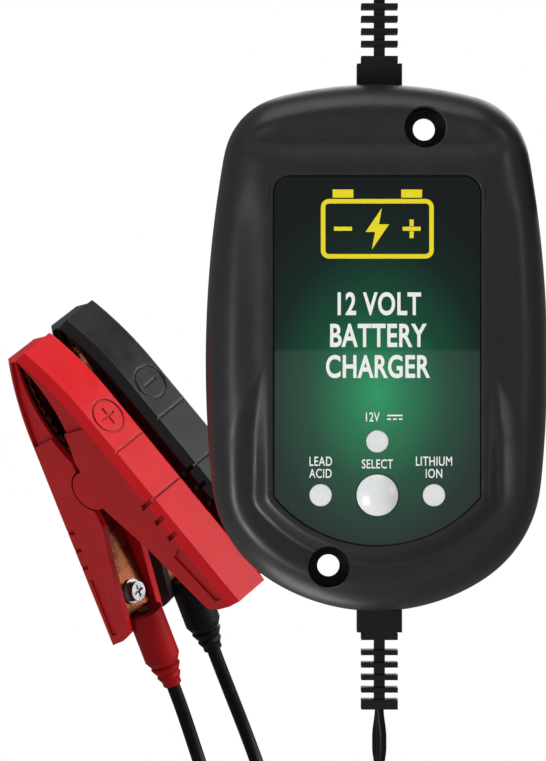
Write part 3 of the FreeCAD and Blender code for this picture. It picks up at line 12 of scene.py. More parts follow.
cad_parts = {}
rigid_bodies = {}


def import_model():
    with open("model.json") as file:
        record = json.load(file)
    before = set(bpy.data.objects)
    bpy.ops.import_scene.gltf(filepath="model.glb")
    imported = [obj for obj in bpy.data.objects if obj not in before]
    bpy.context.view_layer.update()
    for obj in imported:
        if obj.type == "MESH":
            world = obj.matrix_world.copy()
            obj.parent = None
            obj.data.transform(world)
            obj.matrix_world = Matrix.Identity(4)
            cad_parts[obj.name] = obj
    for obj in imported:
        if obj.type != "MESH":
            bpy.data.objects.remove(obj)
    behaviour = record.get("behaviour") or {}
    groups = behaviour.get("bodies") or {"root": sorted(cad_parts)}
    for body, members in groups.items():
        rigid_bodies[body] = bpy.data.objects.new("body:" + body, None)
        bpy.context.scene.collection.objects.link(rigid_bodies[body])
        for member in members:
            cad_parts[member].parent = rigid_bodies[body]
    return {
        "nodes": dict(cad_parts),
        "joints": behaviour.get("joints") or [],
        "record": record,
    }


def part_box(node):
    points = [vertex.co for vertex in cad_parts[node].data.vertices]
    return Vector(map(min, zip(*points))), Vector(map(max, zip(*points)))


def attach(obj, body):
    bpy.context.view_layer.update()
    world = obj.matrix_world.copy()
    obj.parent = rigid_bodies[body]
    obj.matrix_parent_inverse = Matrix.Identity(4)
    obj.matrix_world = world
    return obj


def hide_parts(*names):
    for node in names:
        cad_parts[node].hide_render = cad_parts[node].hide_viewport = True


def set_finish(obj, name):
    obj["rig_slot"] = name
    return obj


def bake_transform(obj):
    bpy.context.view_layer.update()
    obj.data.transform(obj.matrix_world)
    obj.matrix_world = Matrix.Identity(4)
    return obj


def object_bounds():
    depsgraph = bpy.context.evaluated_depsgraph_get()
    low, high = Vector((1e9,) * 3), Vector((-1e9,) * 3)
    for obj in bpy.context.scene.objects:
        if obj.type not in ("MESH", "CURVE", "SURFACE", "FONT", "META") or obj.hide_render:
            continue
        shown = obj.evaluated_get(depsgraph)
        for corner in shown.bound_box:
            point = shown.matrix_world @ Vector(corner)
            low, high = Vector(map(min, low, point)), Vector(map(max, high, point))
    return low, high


MM = 0.001

# ---- sizes of the front moulding -----------------------------------------------------------

AROUND = 720
DENSE = 4
HUB = (0, -3 * MM)
CASE_SOFTEN = 6
LABEL_SOFTEN = 1.5
SLICE = 0.02 * MM
WALL = 2.4 * MM
RIM_ROUND = 10.3 * MM
RIM_POWER = 2.15
RIM_RINGS = 30
DECK_RINGS = 26
DECK_EASE = 0.35
PANEL_GAP = 0.35 * MM
PANEL_RECESS = 0.8 * MM
FRONT_WALL = 2.6 * MM
LIP = 0.9 * MM
LIP_ROUND = 0.12 * MM
SEAT_STEP = 0.05 * MM
SHELF_DEPTH = 30.5 * MM
SHELF_FILLET = 4 * MM

MOAT_TOP = 1.0 * MM
MOAT_FLARE = 21 * MM
MOAT_RUN = 32 * MM
MOAT_WIDTH = 6.8 * MM
MOAT_DEPTH = 2.1 * MM
MOAT_WALL = 0.6
MOAT_BED = 0.35
SCOOP_LOW = 46.8 * MM
SCOOP_TOP = 54.2 * MM
SCOOP_ARC = 75 * MM
SCOOP_HALF = 19 * MM
SCOOP_FADE = 15 * MM
SCOOP_FOOT_ARC = 36 * MM
SCOOP_DEPTH = 2.3 * MM
SCOOP_LEAST = 1.5 * MM
SCOOP_WALL = 2 * MM
FLANK_DEPTH = 0.5 * MM
FLANK_WIDTH = 9 * MM
FLANK_LOW = -20 * MM
FLANK_RISE = 18 * MM
FLANK_FALL = 12 * MM

HANG_HOLES = ((10.7 * MM, 48.8 * MM), (-10.7 * MM, -48.8 * MM))
HANG_HOLE = 2.5 * MM
HANG_HEAD = 4.6 * MM
HANG_BOSS = 6.2 * MM
HANG_SEAT = 25 * MM
HANG_WEB = 3 * MM
HANG_CORE = 4.2 * MM
BOSS_SINK = 2.5 * MM
LAMP_OPENING = 2.52 * MM
BUTTON_OPENING = 4.67 * MM
CLEAR = 2 * MM
COIL_REACH = 2.3 * MM
CORD_LINE = 0.8 * MM
CORD_DEPTH = 19 * MM
SLOT_HALF = 3.1 * MM
SLOT_LONG = 3.5 * MM


# ---- mesh helpers --------------------------------------------------------------------------


def smoothstep(value):
    value = np.clip(value, 0, 1)
    return value * value * (3 - 2 * value)


def hull_outline(thing, depth, spread):
    """The part's outer edge at one depth, as (x, z) points at even angles round the hub.

    The facets are smoothed away over a few steps, without shrinking the arcs.
    """
    flat = [(v.co.x, v.co.z) for v in thing.data.vertices if abs(v.co.y - depth) < SLICE]
    corners = np.array([flat[i] for i in convex_hull_2d(flat)])
    closed = np.vstack([corners, corners[:1]])
    steps = np.linalg.norm(np.diff(closed, axis=0), axis=1)
    reach = np.concatenate([[0], np.cumsum(steps)])
    even = np.linspace(0, reach[-1], AROUND * DENSE, endpoint=False)
    line = np.stack([np.interp(even, reach, closed[:, k]) for k in (0, 1)], axis=1)
    once = blurred(line, spread * DENSE)
    line = 2 * once - blurred(once, spread * DENSE)
    angles = np.arctan2(line[:, 0] - HUB[0], line[:, 1] - HUB[1])
    order = np.argsort(angles)
    wanted = np.linspace(-math.pi, math.pi, AROUND, endpoint=False)
    return np.stack(
        [np.interp(wanted, angles[order], line[order, k], period=2 * math.pi) for k in (0, 1)],
        axis=1,
    )


def blurred(line, spread):
    """A closed line averaged with a bell curve this many points wide."""
    reach = int(4 * spread)
    weights = np.exp(-0.5 * (np.arange(-reach, reach + 1) / spread) ** 2)
    weights /= weights.sum()
    around = np.concatenate([line[-reach:], line, line[:reach]])
    return np.stack([np.convolve(around[:, k], weights, "valid") for k in (0, 1)], axis=1)


def outward(points):
    """Unit normals of a closed line that runs clockwise as seen from the front."""
    ahead = np.roll(points, -1, axis=0) - np.roll(points, 1, axis=0)
    normals = np.stack([-ahead[:, 1], ahead[:, 0]], axis=1)
    return normals / np.linalg.norm(normals, axis=1)[:, None]


def distance_outside(points, line, normals):
    """How far each point lies outside a closed line; negative inside."""
    ways = np.roll(line, -1, axis=0) - line
    gaps = points[:, None, :] - line[None, :, :]
    share = np.clip((gaps * ways).sum(axis=2) / (ways**2).sum(axis=1), 0, 1)
    gaps -= share[:, :, None] * ways
    distances = np.linalg.norm(gaps, axis=2)
    nearest = np.argmin(distances, axis=1)
    every = np.arange(len(points))
    side = (gaps[every, nearest] * normals[nearest]).sum(axis=1)
    return np.copysign(distances[every, nearest], side)


def ring(points, depth):
    """Places (x, z) points at a depth, which may differ from point to point."""
    return np.stack([points[:, 0], np.broadcast_to(depth, len(points)), points[:, 1]], axis=1)


def loft(name, rings):
    """A closed skin through rings of equal length, with a point at each end."""
    count = len(rings[0])
    bm = bmesh.new()
    rows = [[bm.verts.new(p) for p in row] for row in rings]
    for low, high in zip(rows, rows[1:]):
        for i in range(count):
            j = (i + 1) % count
            bm.faces.new((low[i], low[j], high[j], high[i]))
    for row, flip in ((rows[0], True), (rows[-1], False)):
        tip = bm.verts.new(sum((v.co for v in row), Vector()) / count)
        for i in range(count):
            corner = (row[i], row[(i + 1) % count], tip)
            bm.faces.new(corner[::-1] if flip else corner)
    bmesh.ops.recalc_face_normals(bm, faces=bm.faces)
    return new_object(name, bm)


def new_object(name, bm):
    mesh = bpy.data.meshes.new(name)
    bm.to_mesh(mesh)
    bm.free()
    thing = bpy.data.objects.new(name, mesh)
    bpy.context.scene.collection.objects.link(thing)
    return thing


def tube(bm, x, z, radius, front, back, sides=96):
    """Adds a closed round bar along Y."""
    turns = [2 * math.pi * i / sides for i in range(sides)]
    circle = [(x + radius * math.cos(a), z + radius * math.sin(a)) for a in turns]
    near = [bm.verts.new((u, front, v)) for u, v in circle]
    far = [bm.verts.new((u, back, v)) for u, v in circle]
    bm.faces.new(near)
    bm.faces.new(far[::-1])
    for i in range(sides):
        j = (i + 1) % sides
        bm.faces.new((near[j], near[i], far[i], far[j]))


def bar(bm, low, high):
    """Adds a closed box."""
    corners = [
        bm.verts.new((x, y, z)) for x in (low[0], high[0]) for y in (low[1], high[1])
        for z in (low[2], high[2])
    ]
    for face in ((0, 1, 3, 2), (4, 6, 7, 5), (0, 4, 5, 1), (2, 3, 7, 6), (0, 2, 6, 4), (1, 5, 7, 3)):
        bm.faces.new([corners[i] for i in face])


def carve(target, tool_bm, operation):
    """Applies a boolean with a tool that is then thrown away."""
    bmesh.ops.recalc_face_normals(tool_bm, faces=tool_bm.faces)
    tool = new_object("tool", tool_bm)
    step = target.modifiers.new("carve", "BOOLEAN")
    step.operation = operation
    step.solver = "EXACT"
    step.object = tool
    bake(target)
    bpy.data.objects.remove(tool)


def bake(thing):
    """Turns the object's modifiers into plain mesh."""
    graph = bpy.context.evaluated_depsgraph_get()
    mesh = bpy.data.meshes.new_from_object(thing.evaluated_get(graph))
    thing.modifiers.clear()
    thing.data = mesh


def smooth_shade(thing, degrees=32):
    for face in thing.data.polygons:
        face.use_smooth = True
    thing.data.set_sharp_from_angle(angle=math.radians(degrees))


# ---- the front moulding --------------------------------------------------------------------


def moat_drop(outside, z):
    """The moat starts beside the panel, flares outwards and runs round the panel's foot."""
    width = MOAT_WIDTH * np.sqrt(np.clip((MOAT_TOP - z) / MOAT_FLARE, 1e-6, 1))
    across = (outside - LIP) / width
    inner_wall = smoothstep(across / MOAT_WALL)
    outer_flank = 1 - smoothstep(across - MOAT_BED)
    return MOAT_DEPTH * smoothstep((MOAT_TOP - z) / MOAT_RUN) * inner_wall * outer_flank


def scoop_drop(x, z, foot):
    """The valley over the panel: a long slope up from it, and a short steep wall under the rim."""
    foot = foot + np.maximum(np.abs(x) - SCOOP_HALF, 0) ** 2 / SCOOP_FOOT_ARC
    crest = np.maximum(SCOOP_TOP - x**2 / (2 * SCOOP_ARC), SCOOP_LOW + SCOOP_LEAST)
    slope = smoothstep((z - foot) / (SCOOP_LOW - foot + SCOOP_LEAST))
    wall = 1 - smoothstep((z - SCOOP_LOW + SCOOP_WALL) / (crest - SCOOP_LOW + SCOOP_WALL))
    ends = 1 - smoothstep((np.abs(x) - SCOOP_HALF) / SCOOP_FADE)
    return SCOOP_DEPTH * slope * wall * ends


def flank_drop(outside, z, top):
    """A faint hollow between the panel and the side rims."""
    across = np.clip((outside - LIP) / FLANK_WIDTH, 0, 1)
    band = smoothstep((z - FLANK_LOW) / FLANK_RISE) * smoothstep((top - z) / FLANK_FALL)
    return FLANK_DEPTH * np.sin(math.pi * across) ** 2 * band


def moulding_rings(case_line, panel_line, front, back):
    """Rings from the panel's seat, over the lip, moat and rim, down the wall and up inside."""
    case_out, panel_out = outward(case_line), outward(panel_line)
    top = panel_line[:, 1].max()

    def sunk(points, depth):
        outside = distance_outside(points, panel_line, panel_out)
        x, z = points.T
        drop = np.maximum(moat_drop(outside, z), scoop_drop(x, z, top + LIP))
        return ring(points, depth + np.maximum(drop, flank_drop(outside, z, top)))

    floor = front + PANEL_RECESS
    rings = [
        ring(panel_line * 0.3, floor),
        ring(panel_line - panel_out * 3 * MM, floor),
        ring(panel_line - panel_out * SEAT_STEP, floor),
        ring(panel_line, floor - SEAT_STEP),
        ring(panel_line, front + LIP_ROUND),
        ring(panel_line + panel_out * LIP_ROUND / 3, front + LIP_ROUND / 4),
        ring(panel_line + panel_out * LIP_ROUND, front),
        ring(panel_line + panel_out * 0.5 * LIP, front),
    ]
    lip_line = panel_line + panel_out * LIP
    deck_line = case_line - case_out * RIM_ROUND
    for step in range(DECK_RINGS):
        even = step / DECK_RINGS
        share = DECK_EASE * smoothstep(even) + (1 - DECK_EASE) * even
        rings.append(sunk(lip_line * (1 - share) + deck_line * share, front))
    for step in range(RIM_RINGS + 1):
        turn = 0.5 * math.pi * (1 - step / RIM_RINGS)
        inset = RIM_ROUND * (1 - math.cos(turn) ** (2 / RIM_POWER))
        rise = RIM_ROUND * math.sin(turn) ** (2 / RIM_POWER)
        rings.append(sunk(case_line - case_out * inset, front + RIM_ROUND - rise))
    for share in (0.33, 0.66, 1):
        rings.append(ring(case_line, (front + RIM_ROUND) * (1 - share) + back * share))
    inner_line = case_line - case_out * WALL
    pulpit = panel_line - panel_out * WALL
    shelf = -SHELF_DEPTH
    rings += [
        ring(inner_line, back),
        ring(inner_line, shelf + SHELF_FILLET),
        ring(inner_line - case_out * SHELF_FILLET, shelf),
        ring(pulpit, shelf),
        ring(pulpit, floor + FRONT_WALL),
        ring(pulpit * 0.3, floor + FRONT_WALL),
    ]
    return rings


def middle(node):
    """The (x, z) middle of a node's box."""
    low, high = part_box(node)
    return (low.x + high.x) / 2, (low.z + high.z) / 2


def front_openings(front):
    """The counterbores of the hanging holes, and the holes for the lamps and the button."""
    bm = bmesh.new()
    for x, z in HANG_HOLES:
        tube(bm, x, z, HANG_HEAD, front - CLEAR, -HANG_SEAT)
    for name in ("charge", "lead_acid", "lithium"):
        tube(bm, *middle(f"{name}_led_lens"), LAMP_OPENING, front - CLEAR, -SHELF_DEPTH)
    tube(bm, *middle("select_button"), BUTTON_OPENING, front - CLEAR, -SHELF_DEPTH)
    return bm


def screw_passages(back):
    """The narrow hole under each hanging hole's counterbore."""
    bm = bmesh.new()
    for x, z in HANG_HOLES:
        tube(bm, x, z, HANG_HOLE, -HANG_SEAT - CLEAR, back + CLEAR)
    return bm


def back_openings(case_line, back):
    """The wide bores behind the hanging holes, and the slots for both cords."""
    bm = bmesh.new()
    for x, z in HANG_HOLES:
        tube(bm, x, z, HANG_CORE, -HANG_SEAT + HANG_WEB, back + CLEAR)
    for end in (case_line[:, 1].max(), case_line[:, 1].min()):
        side = math.copysign(1, end)
        low, high = sorted((end - side * SLOT_LONG, end + side * CLEAR))
        bar(
            bm,
            (CORD_LINE - SLOT_HALF, -CORD_DEPTH - SLOT_HALF, low),
            (CORD_LINE + SLOT_HALF, back + CLEAR, high),
        )
    return bm


def front_moulding(nodes):
    """The whole front housing with its sculpted face, in place of the plainer CAD solid."""
    low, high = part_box("front_housing")
    front, back = low.y, high.y
    case_line = hull_outline(nodes["front_housing"], back, CASE_SOFTEN)
    panel_line = hull_outline(nodes["label_panel"], print_face(), LABEL_SOFTEN)
    panel_line = panel_line + outward(panel_line) * PANEL_GAP
    case = loft("case_moulding", moulding_rings(case_line, panel_line, front, back))
    bosses = bmesh.new()
    for x, z in HANG_HOLES:
        tube(bosses, x, z, HANG_BOSS, -SHELF_DEPTH - BOSS_SINK, back)
    carve(case, bosses, "UNION")
    carve(case, front_openings(front), "DIFFERENCE")
    carve(case, screw_passages(back), "DIFFERENCE")
    carve(case, back_openings(case_line, back), "DIFFERENCE")
    smooth_shade(case)
    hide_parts("front_housing")
    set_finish(case, "case_plastic")
    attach(case, "charger")
    return case


# ---- the output cord -----------------------------------------------------------------------

CORD_HALF_THICK = 1.0 * MM
CORD_HALF_WIDE = 2.2 * MM
LOBE_TURN = 125
LOBE_STEPS = 24
CORD_SWAY = 30
CORD_RINGS = 60


def twin_section(turn):
    """Two round wires side by side with a groove between them, turned about the cord's line."""
    spacing = CORD_HALF_WIDE - CORD_HALF_THICK
    points = []
    for hand, facing in ((1, 0), (-1, 180)):
        for step in range(LOBE_STEPS + 1):
            angle = math.radians(facing + LOBE_TURN * (2 * step / LOBE_STEPS - 1))
            across = hand * spacing + CORD_HALF_THICK * math.cos(angle)
            points.append((across, CORD_HALF_THICK * math.sin(angle)))
    flat = np.array(points)
    return flat @ np.array([[math.cos(turn), math.sin(turn)], [-math.sin(turn), math.cos(turn)]])


def output_cord():
    """The flat twin cord turns a little between its strain relief and its connector."""
    low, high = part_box("output_cord")
    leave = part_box("output_strain_relief")[0].z
    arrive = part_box("output_connector_shell")[1].z
    heights = np.concatenate([[high.z], np.linspace(leave, arrive, CORD_RINGS), [low.z]])
    centre = np.array([CORD_LINE, -CORD_DEPTH])
    rings = []
    for z in heights:
        share = np.clip((leave - z) / (leave - arrive), 0, 1)
        sway = math.radians(CORD_SWAY) * smoothstep(share / 0.45) * smoothstep((1 - share) / 0.4)
        section = twin_section(math.pi / 2 + sway)
        rings.append(np.column_stack([section + centre, np.full(len(section), z)]))
    cord = loft("output_cord_twin", rings)
    smooth_shade(cord, 60)
    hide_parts("output_cord")
    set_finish(cord, "cord_jacket")
    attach(cord, "charger")
    return cord


# ---- clamp springs -------------------------------------------------------------------------


def middle_of(thing):
    """The mean place of a mesh's points."""
    points = thing.data.vertices
    return sum((point.co for point in points), Vector()) / len(points)


def wound_spring(side):
    """A clamp's torsion spring: a copy of the CAD spring in the same place, with the CAD one hidden.
    """
    nodes = frame["nodes"]
    hinge = next(joint for joint in frame["joints"] if joint["name"] == f"{side}_clamp_open")
    axis = Vector(hinge["axis"]).normalized()
    across = middle_of(nodes[f"{side}_upper_grip"]) - middle_of(nodes[f"{side}_lower_grip"])
    across = (across - axis * across.dot(axis)).normalized() * COIL_REACH
    coil = bpy.data.objects.new(f"{side}_wound_spring", nodes[f"{side}_spring"].data.copy())
    bpy.context.scene.collection.objects.link(coil)
    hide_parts(f"{side}_spring")
    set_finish(coil, "spring_steel")
    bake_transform(coil)


# ---- print on the front panel --------------------------------------------------------------

INK_THICK = 0.025 * MM
TITLE_CAPITALS = 5.2 * MM
SMALL_CAPITALS = 2.05 * MM
LETTER_SPACE = 1.06
LETTER_SQUEEZE = 0.72
LETTER_WEIGHT = 0.02
TITLE_SQUEEZE = 0.7
TITLE_WEIGHT = 0.05
SIDE_COLUMN = 12.55 * MM
EMBLEM_RISE = 26.2 * MM
POLE_COLUMN = 7.6 * MM
CURRENT_SIGN = (3.9 * MM, -15.6 * MM)
CORNER_STEPS = 8


def print_face():
    """Depth of the printed panel's front face."""
    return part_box("label_panel")[0].y


def ink(name, bm, look):
    """Closes flat outlines on the panel's face into thin raised ink."""
    for face in bm.faces:
        face.smooth = False
    made = bmesh.ops.extrude_face_region(bm, geom=list(bm.faces))
    lifted = [v for v in made["geom"] if isinstance(v, bmesh.types.BMVert)]
    bmesh.ops.translate(bm, verts=lifted, vec=(0, -INK_THICK, 0))
    bmesh.ops.recalc_face_normals(bm, faces=bm.faces)
    thing = new_object(name, bm)
    thing.data.materials.append(look)
    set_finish(thing, "panel_print")
    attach(thing, "charger")


def lettering(
    name, words, x, z, cap_height, look, squeeze=LETTER_SQUEEZE, weight=LETTER_WEIGHT
):
    """One line of plain capitals, centred on x, with its foot at z."""
    curve = bpy.data.curves.new(name, "FONT")
    curve.body = words
    curve.align_x = "CENTER"
    curve.size = 1
    curve.offset = weight * 0.5
    curve.space_character = LETTER_SPACE
    curve.resolution_u = 5
    sample = bpy.data.objects.new(name, curve)
    bpy.context.scene.collection.objects.link(sample)
    graph = bpy.context.evaluated_depsgraph_get()
    mesh = bpy.data.meshes.new_from_object(sample.evaluated_get(graph))
    bpy.data.objects.remove(sample)
    bm = bmesh.new()
    bm.from_mesh(mesh)
    bmesh.ops.remove_doubles(bm, verts=bm.verts, dist=1e-5)
    low = min(v.co.y for v in bm.verts)
    size = cap_height / (max(v.co.y for v in bm.verts) - low)
    face = print_face()
    for vert in bm.verts:
        across, up, _ = vert.co
        vert.co = (x + across * size * squeeze, face, z + (up - low) * size)
    ink(name, bm, look)


def flat_shape(bm, points):
    face = print_face()
    bm.faces.new([bm.verts.new((x, face, z)) for x, z in points])


def frame_shape(bm, x, z, half_width, half_height, corner, stroke):
    """A rounded rectangle drawn as a line of even width."""
    face = print_face()
    rows = [[], []]
    for right, up, first in ((1, 1, 0), (-1, 1, 90), (-1, -1, 180), (1, -1, 270)):
        u, v = x + right * (half_width - corner), z + up * (half_height - corner)
        for step in range(CORNER_STEPS + 1):
            turn = math.radians(first + 90 * step / CORNER_STEPS)
            for row, radius in zip(rows, (corner, corner - stroke)):
                spot = (u + radius * math.cos(turn), face, v + radius * math.sin(turn))
                row.append(bm.verts.new(spot))
    count = len(rows[0])
    for i in range(count):
        j = (i + 1) % count
        bm.faces.new((rows[0][i], rows[0][j], rows[1][j], rows[1][i]))


def box_shape(bm, x, z, half_width, half_height):
    flat_shape(
        bm,
        [
            (x - half_width, z - half_height), (x + half_width, z - half_height),
            (x + half_width, z + half_height), (x - half_width, z + half_height),
        ],
    )


def battery_emblem(look):
    """A plain battery sign with its plus, its minus and a spark between them."""
    bm = bmesh.new()
    z = EMBLEM_RISE
    frame_shape(bm, 0, z, 12.5 * MM, 6.6 * MM, 1.8 * MM, 1.0 * MM)
    for x in (-POLE_COLUMN, POLE_COLUMN):
        box_shape(bm, x, z + 7.8 * MM, 2.3 * MM, 0.9 * MM)
        box_shape(bm, x, z, 2.0 * MM, 0.45 * MM)
    for up in (-1, 1):
        box_shape(bm, POLE_COLUMN, z + up * 1.3 * MM, 0.45 * MM, 0.75 * MM)
    spark = [(1.0, 4.6), (-2.6, -0.7), (-0.5, -0.7), (-1.2, -4.6), (2.6, 1.0), (0.4, 1.0)]
    flat_shape(bm, [(u * MM, z + v * MM) for u, v in spark])
    ink("panel_battery_sign", bm, look)


def direct_current_sign(look):
    """A full line over three dashes."""
    bm = bmesh.new()
    x, z = CURRENT_SIGN
    box_shape(bm, x, z + 0.45 * MM, 1.7 * MM, 0.17 * MM)
    for step in (-1, 0, 1):
        box_shape(bm, x + step * 1.28 * MM, z - 0.35 * MM, 0.42 * MM, 0.17 * MM)
    ink("panel_direct_current_sign", bm, look)


def panel_print():
    """The emblem, the title and the words over the lamps and the button."""
    white = plain_ink("white_ink", srgb(252, 253, 252))
    yellow = plain_ink("yellow_ink", srgb(250, 232, 30))
    battery_emblem(yellow)
    for row, (words, z) in enumerate((("12 VOLT", 7), ("BATTERY", 0), ("CHARGER", -6.9))):
        lettering(
            f"panel_line_{row + 1}", words, 0, z * MM, TITLE_CAPITALS, white,
            squeeze=TITLE_SQUEEZE, weight=TITLE_WEIGHT,
        )
    direct_current_sign(white)
    for name, words, x, z in (
        ("panel_volts", "12V", -1.2 * MM, -16.5), ("panel_select", "SELECT", 0, -26.9),
        ("panel_lead", "LEAD", -SIDE_COLUMN, -26.3), ("panel_acid", "ACID", -SIDE_COLUMN, -29),
        ("panel_lithium", "LITHIUM", SIDE_COLUMN, -26.3), ("panel_ion", "ION", SIDE_COLUMN, -29),
    ):
        lettering(name, words, x, z * MM, SMALL_CAPITALS, white)


# ---- material helpers ----------------------------------------------------------------------


def srgb(red, green, blue):
    """Linear colour of a screen colour given as 0 to 255."""

    def linear(level):
        level /= 255
        return level / 12.92 if level <= 0.04045 else ((level + 0.055) / 1.055) ** 2.4

    return (linear(red), linear(green), linear(blue), 1)


def shade(colour, factor):
    return tuple(min(1, c * factor) for c in colour[:3]) + (1,)


def new_look(name):
    look = bpy.data.materials.new(name)
    look.use_nodes = True
    tree = look.node_tree
    return look, tree, tree.nodes["Principled BSDF"]


def node(tree, kind, inputs=None, **settings):
    """A shader node with its settings, and its inputs set or linked."""
    made = tree.nodes.new("ShaderNode" + kind)
    for name, value in settings.items():
        setattr(made, name, value)
    feed(tree, made, inputs or {})
    return made


def feed(tree, made, inputs):
    for socket, value in inputs.items():
        if isinstance(value, bpy.types.NodeSocket):
            tree.links.new(value, made.inputs[socket])
        else:
            made.inputs[socket].default_value = value


def place(tree, stretch=(1, 1, 1)):
    """The point's own place on the object, in millimetres."""
    where = node(tree, "TexCoord").outputs["Object"]
    scale = [factor / MM for factor in stretch]
    return node(tree, "Mapping", {"Vector": where, "Scale": scale}).outputs["Vector"]


def noise(tree, size, detail=3, stretch=(1, 1, 1)):
    """Cloudy noise whose spots are about this many millimetres wide."""
    inputs = {"Vector": place(tree, stretch), "Scale": 1 / size, "Detail": detail}
    return node(tree, "TexNoise", inputs).outputs["Fac"]


def between(tree, value, low, high, out_low=0.0, out_high=1.0, smooth=False):
    inputs = {
        "Value": value, "From Min": low, "From Max": high, "To Min": out_low, "To Max": out_high,
    }
    kind = "SMOOTHSTEP" if smooth else "LINEAR"
    return node(tree, "MapRange", inputs, interpolation_type=kind).outputs["Result"]


def arithmetic(tree, operation, first, second=0.0):
    return node(tree, "Math", {0: first, 1: second}, operation=operation).outputs[0]


def blend_colour(tree, share, first, second, kind="MIX"):
    made = node(tree, "Mix", {0: share, 6: first, 7: second}, data_type="RGBA", blend_type=kind)
    return made.outputs[2]


def edge_share(tree, radius):
    """1 on sharp edges and 0 on flat faces, with the rounded normal that finds them."""
    rounded = node(tree, "Bevel", {"Radius": radius}, samples=6).outputs["Normal"]
    true = node(tree, "NewGeometry").outputs["Normal"]
    same = node(tree, "VectorMath", {0: rounded, 1: true}, operation="DOT_PRODUCT")
    return between(tree, same.outputs["Value"], 0.995, 0.86), rounded


def relief(tree, shader, height, depth, normal, strength=1.0):
    inputs = {"Height": height, "Distance": depth, "Strength": strength, "Normal": normal}
    feed(tree, shader, {"Normal": node(tree, "Bump", inputs).outputs["Normal"]})


# ---- materials -----------------------------------------------------------------------------

# Patterns are laid out in millimetres.
GLOW_RISE = -10.5
GLOW_HALF_WIDTH = 24
GLOW_HALF_HEIGHT = 33
GLOW_END = 1.35
# Share of pale tint on the film's lower part: a painted reflection.
PAINTED_REFLECTION_LIFT = 0.025
FOIL_RISE = 20
FOIL_HALF_WIDTH = 14.6
FOIL_HALF_HEIGHT = 12.6
FOIL_LINE = 0.4
FOIL_SHARP = 0.1
FOIL_ROW = 2.2


# Painted shade: moulded colours darken towards this share within this reach of nearby surfaces, in
# creases and recesses.
PAINTED_SHADE_REACH = 0.9 * MM
PAINTED_CREVICE_SHADE = 0.25


def moulded(
    name, colour, rough, grain=0.35, grain_depth=0.006, edge=0.25, coat=0.0, rub=1.35, shine=0.5
):
    """Moulded plastic or rubber: fine grain, uneven sheen, edges rubbed a little lighter, and
    painted shade that darkens its crevices.
    """
    look, tree, shader = new_look(name)
    edges, rounded = edge_share(tree, edge * MM)
    clouds = between(tree, noise(tree, 9), 0.3, 0.7)
    body = blend_colour(tree, clouds, shade(colour, 0.93), shade(colour, 1.07))
    scuff = between(tree, noise(tree, 1.2, 6), 0.45, 0.65)
    rubbed = arithmetic(tree, "MULTIPLY", edges, between(tree, scuff, 0, 1, 0.5, 1.0))
    worn = blend_colour(tree, rubbed, body, shade(colour, rub))
    # Painted shade: the colour is darkened where other surfaces lie close, in creases and recesses.
    occlusion = node(tree, "AmbientOcclusion", {"Distance": PAINTED_SHADE_REACH}, samples=8).outputs["AO"]
    unshaded_share = between(tree, occlusion, 0.35, 0.9, PAINTED_CREVICE_SHADE, 1.0)
    final = blend_colour(tree, unshaded_share, shade(colour, PAINTED_CREVICE_SHADE), worn)
    sheen = between(tree, noise(tree, 4, 5), 0.3, 0.7, rough - 0.04, rough + 0.05)
    feed(
        tree, shader,
        {
            "Base Color": final, "Roughness": sheen, "Coat Weight": coat,
            "Coat Roughness": 0.15, "Specular IOR Level": shine,
        },
    )
    relief(tree, shader, noise(tree, grain, 2), grain_depth * MM, rounded)
    return look


def extruded(name, colour, rough):
    """A cable jacket: fine grain, dust and a soft sheen."""
    look, tree, shader = new_look(name)
    dust = between(tree, noise(tree, 3.5, 6), 0.55, 0.8)
    body = blend_colour(tree, dust, colour, shade(colour, 1.8))
    sheen = between(tree, noise(tree, 2.2, 4), 0.3, 0.7, rough - 0.06, rough + 0.08)
    feed(tree, shader, {"Base Color": body, "Roughness": sheen, "Specular IOR Level": 0.2})
    rounded = node(tree, "Bevel", {"Radius": 0.1 * MM}, samples=4).outputs["Normal"]
    relief(tree, shader, noise(tree, 0.7, 3), 0.012 * MM, rounded)
    return look


def metal(name, colour, rough, stretch=(1, 1, 1), tarnish=None, edge=0.12):
    """Plated or bare metal: fine drawn lines, duller patches, and bright edges."""
    look, tree, shader = new_look(name)
    edges, rounded = edge_share(tree, edge * MM)
    patches = between(tree, noise(tree, 2.5, 5), 0.45, 0.75)
    body = blend_colour(tree, patches, colour, tarnish or shade(colour, 0.7))
    final = blend_colour(tree, edges, body, shade(colour, 1.25))
    sheen = between(tree, noise(tree, 0.5, 4, stretch), 0.3, 0.7, rough - 0.08, rough + 0.12)
    feed(tree, shader, {"Base Color": final, "Roughness": sheen, "Metallic": 1.0})
    relief(tree, shader, noise(tree, 0.25, 3, stretch), 0.006 * MM, rounded)
    return look


def frosted(name, colour):
    """A frosted light window: milky, with faint cloudy patches and fine surface frost."""
    look, tree, shader = new_look(name)
    clouds = between(tree, noise(tree, 1.5, 3), 0.3, 0.7)
    body = blend_colour(tree, clouds, shade(colour, 0.96), colour)
    feed(
        tree, shader,
        {
            "Base Color": body, "Roughness": 0.32, "Subsurface Weight": 0.35,
            "Subsurface Radius": (0.002, 0.002, 0.002), "Subsurface Scale": 0.5,
            "Coat Weight": 0.4, "Coat Roughness": 0.08,
        },
    )
    rounded = node(tree, "Bevel", {"Radius": 0.15 * MM}, samples=6).outputs["Normal"]
    relief(tree, shader, noise(tree, 0.12, 2), 0.004 * MM, rounded)
    return look


def plain_ink(name, colour):
    """Screen-printed ink with a faint mesh texture."""
    look, tree, shader = new_look(name)
    thin = between(tree, noise(tree, 0.5, 4), 0.35, 0.7)
    body = blend_colour(tree, thin, shade(colour, 0.94), colour)
    feed(tree, shader, {"Base Color": body, "Roughness": 0.42})
    normal = node(tree, "NewGeometry").outputs["Normal"]
    relief(tree, shader, noise(tree, 0.08, 2), 0.003 * MM, normal)
    return look


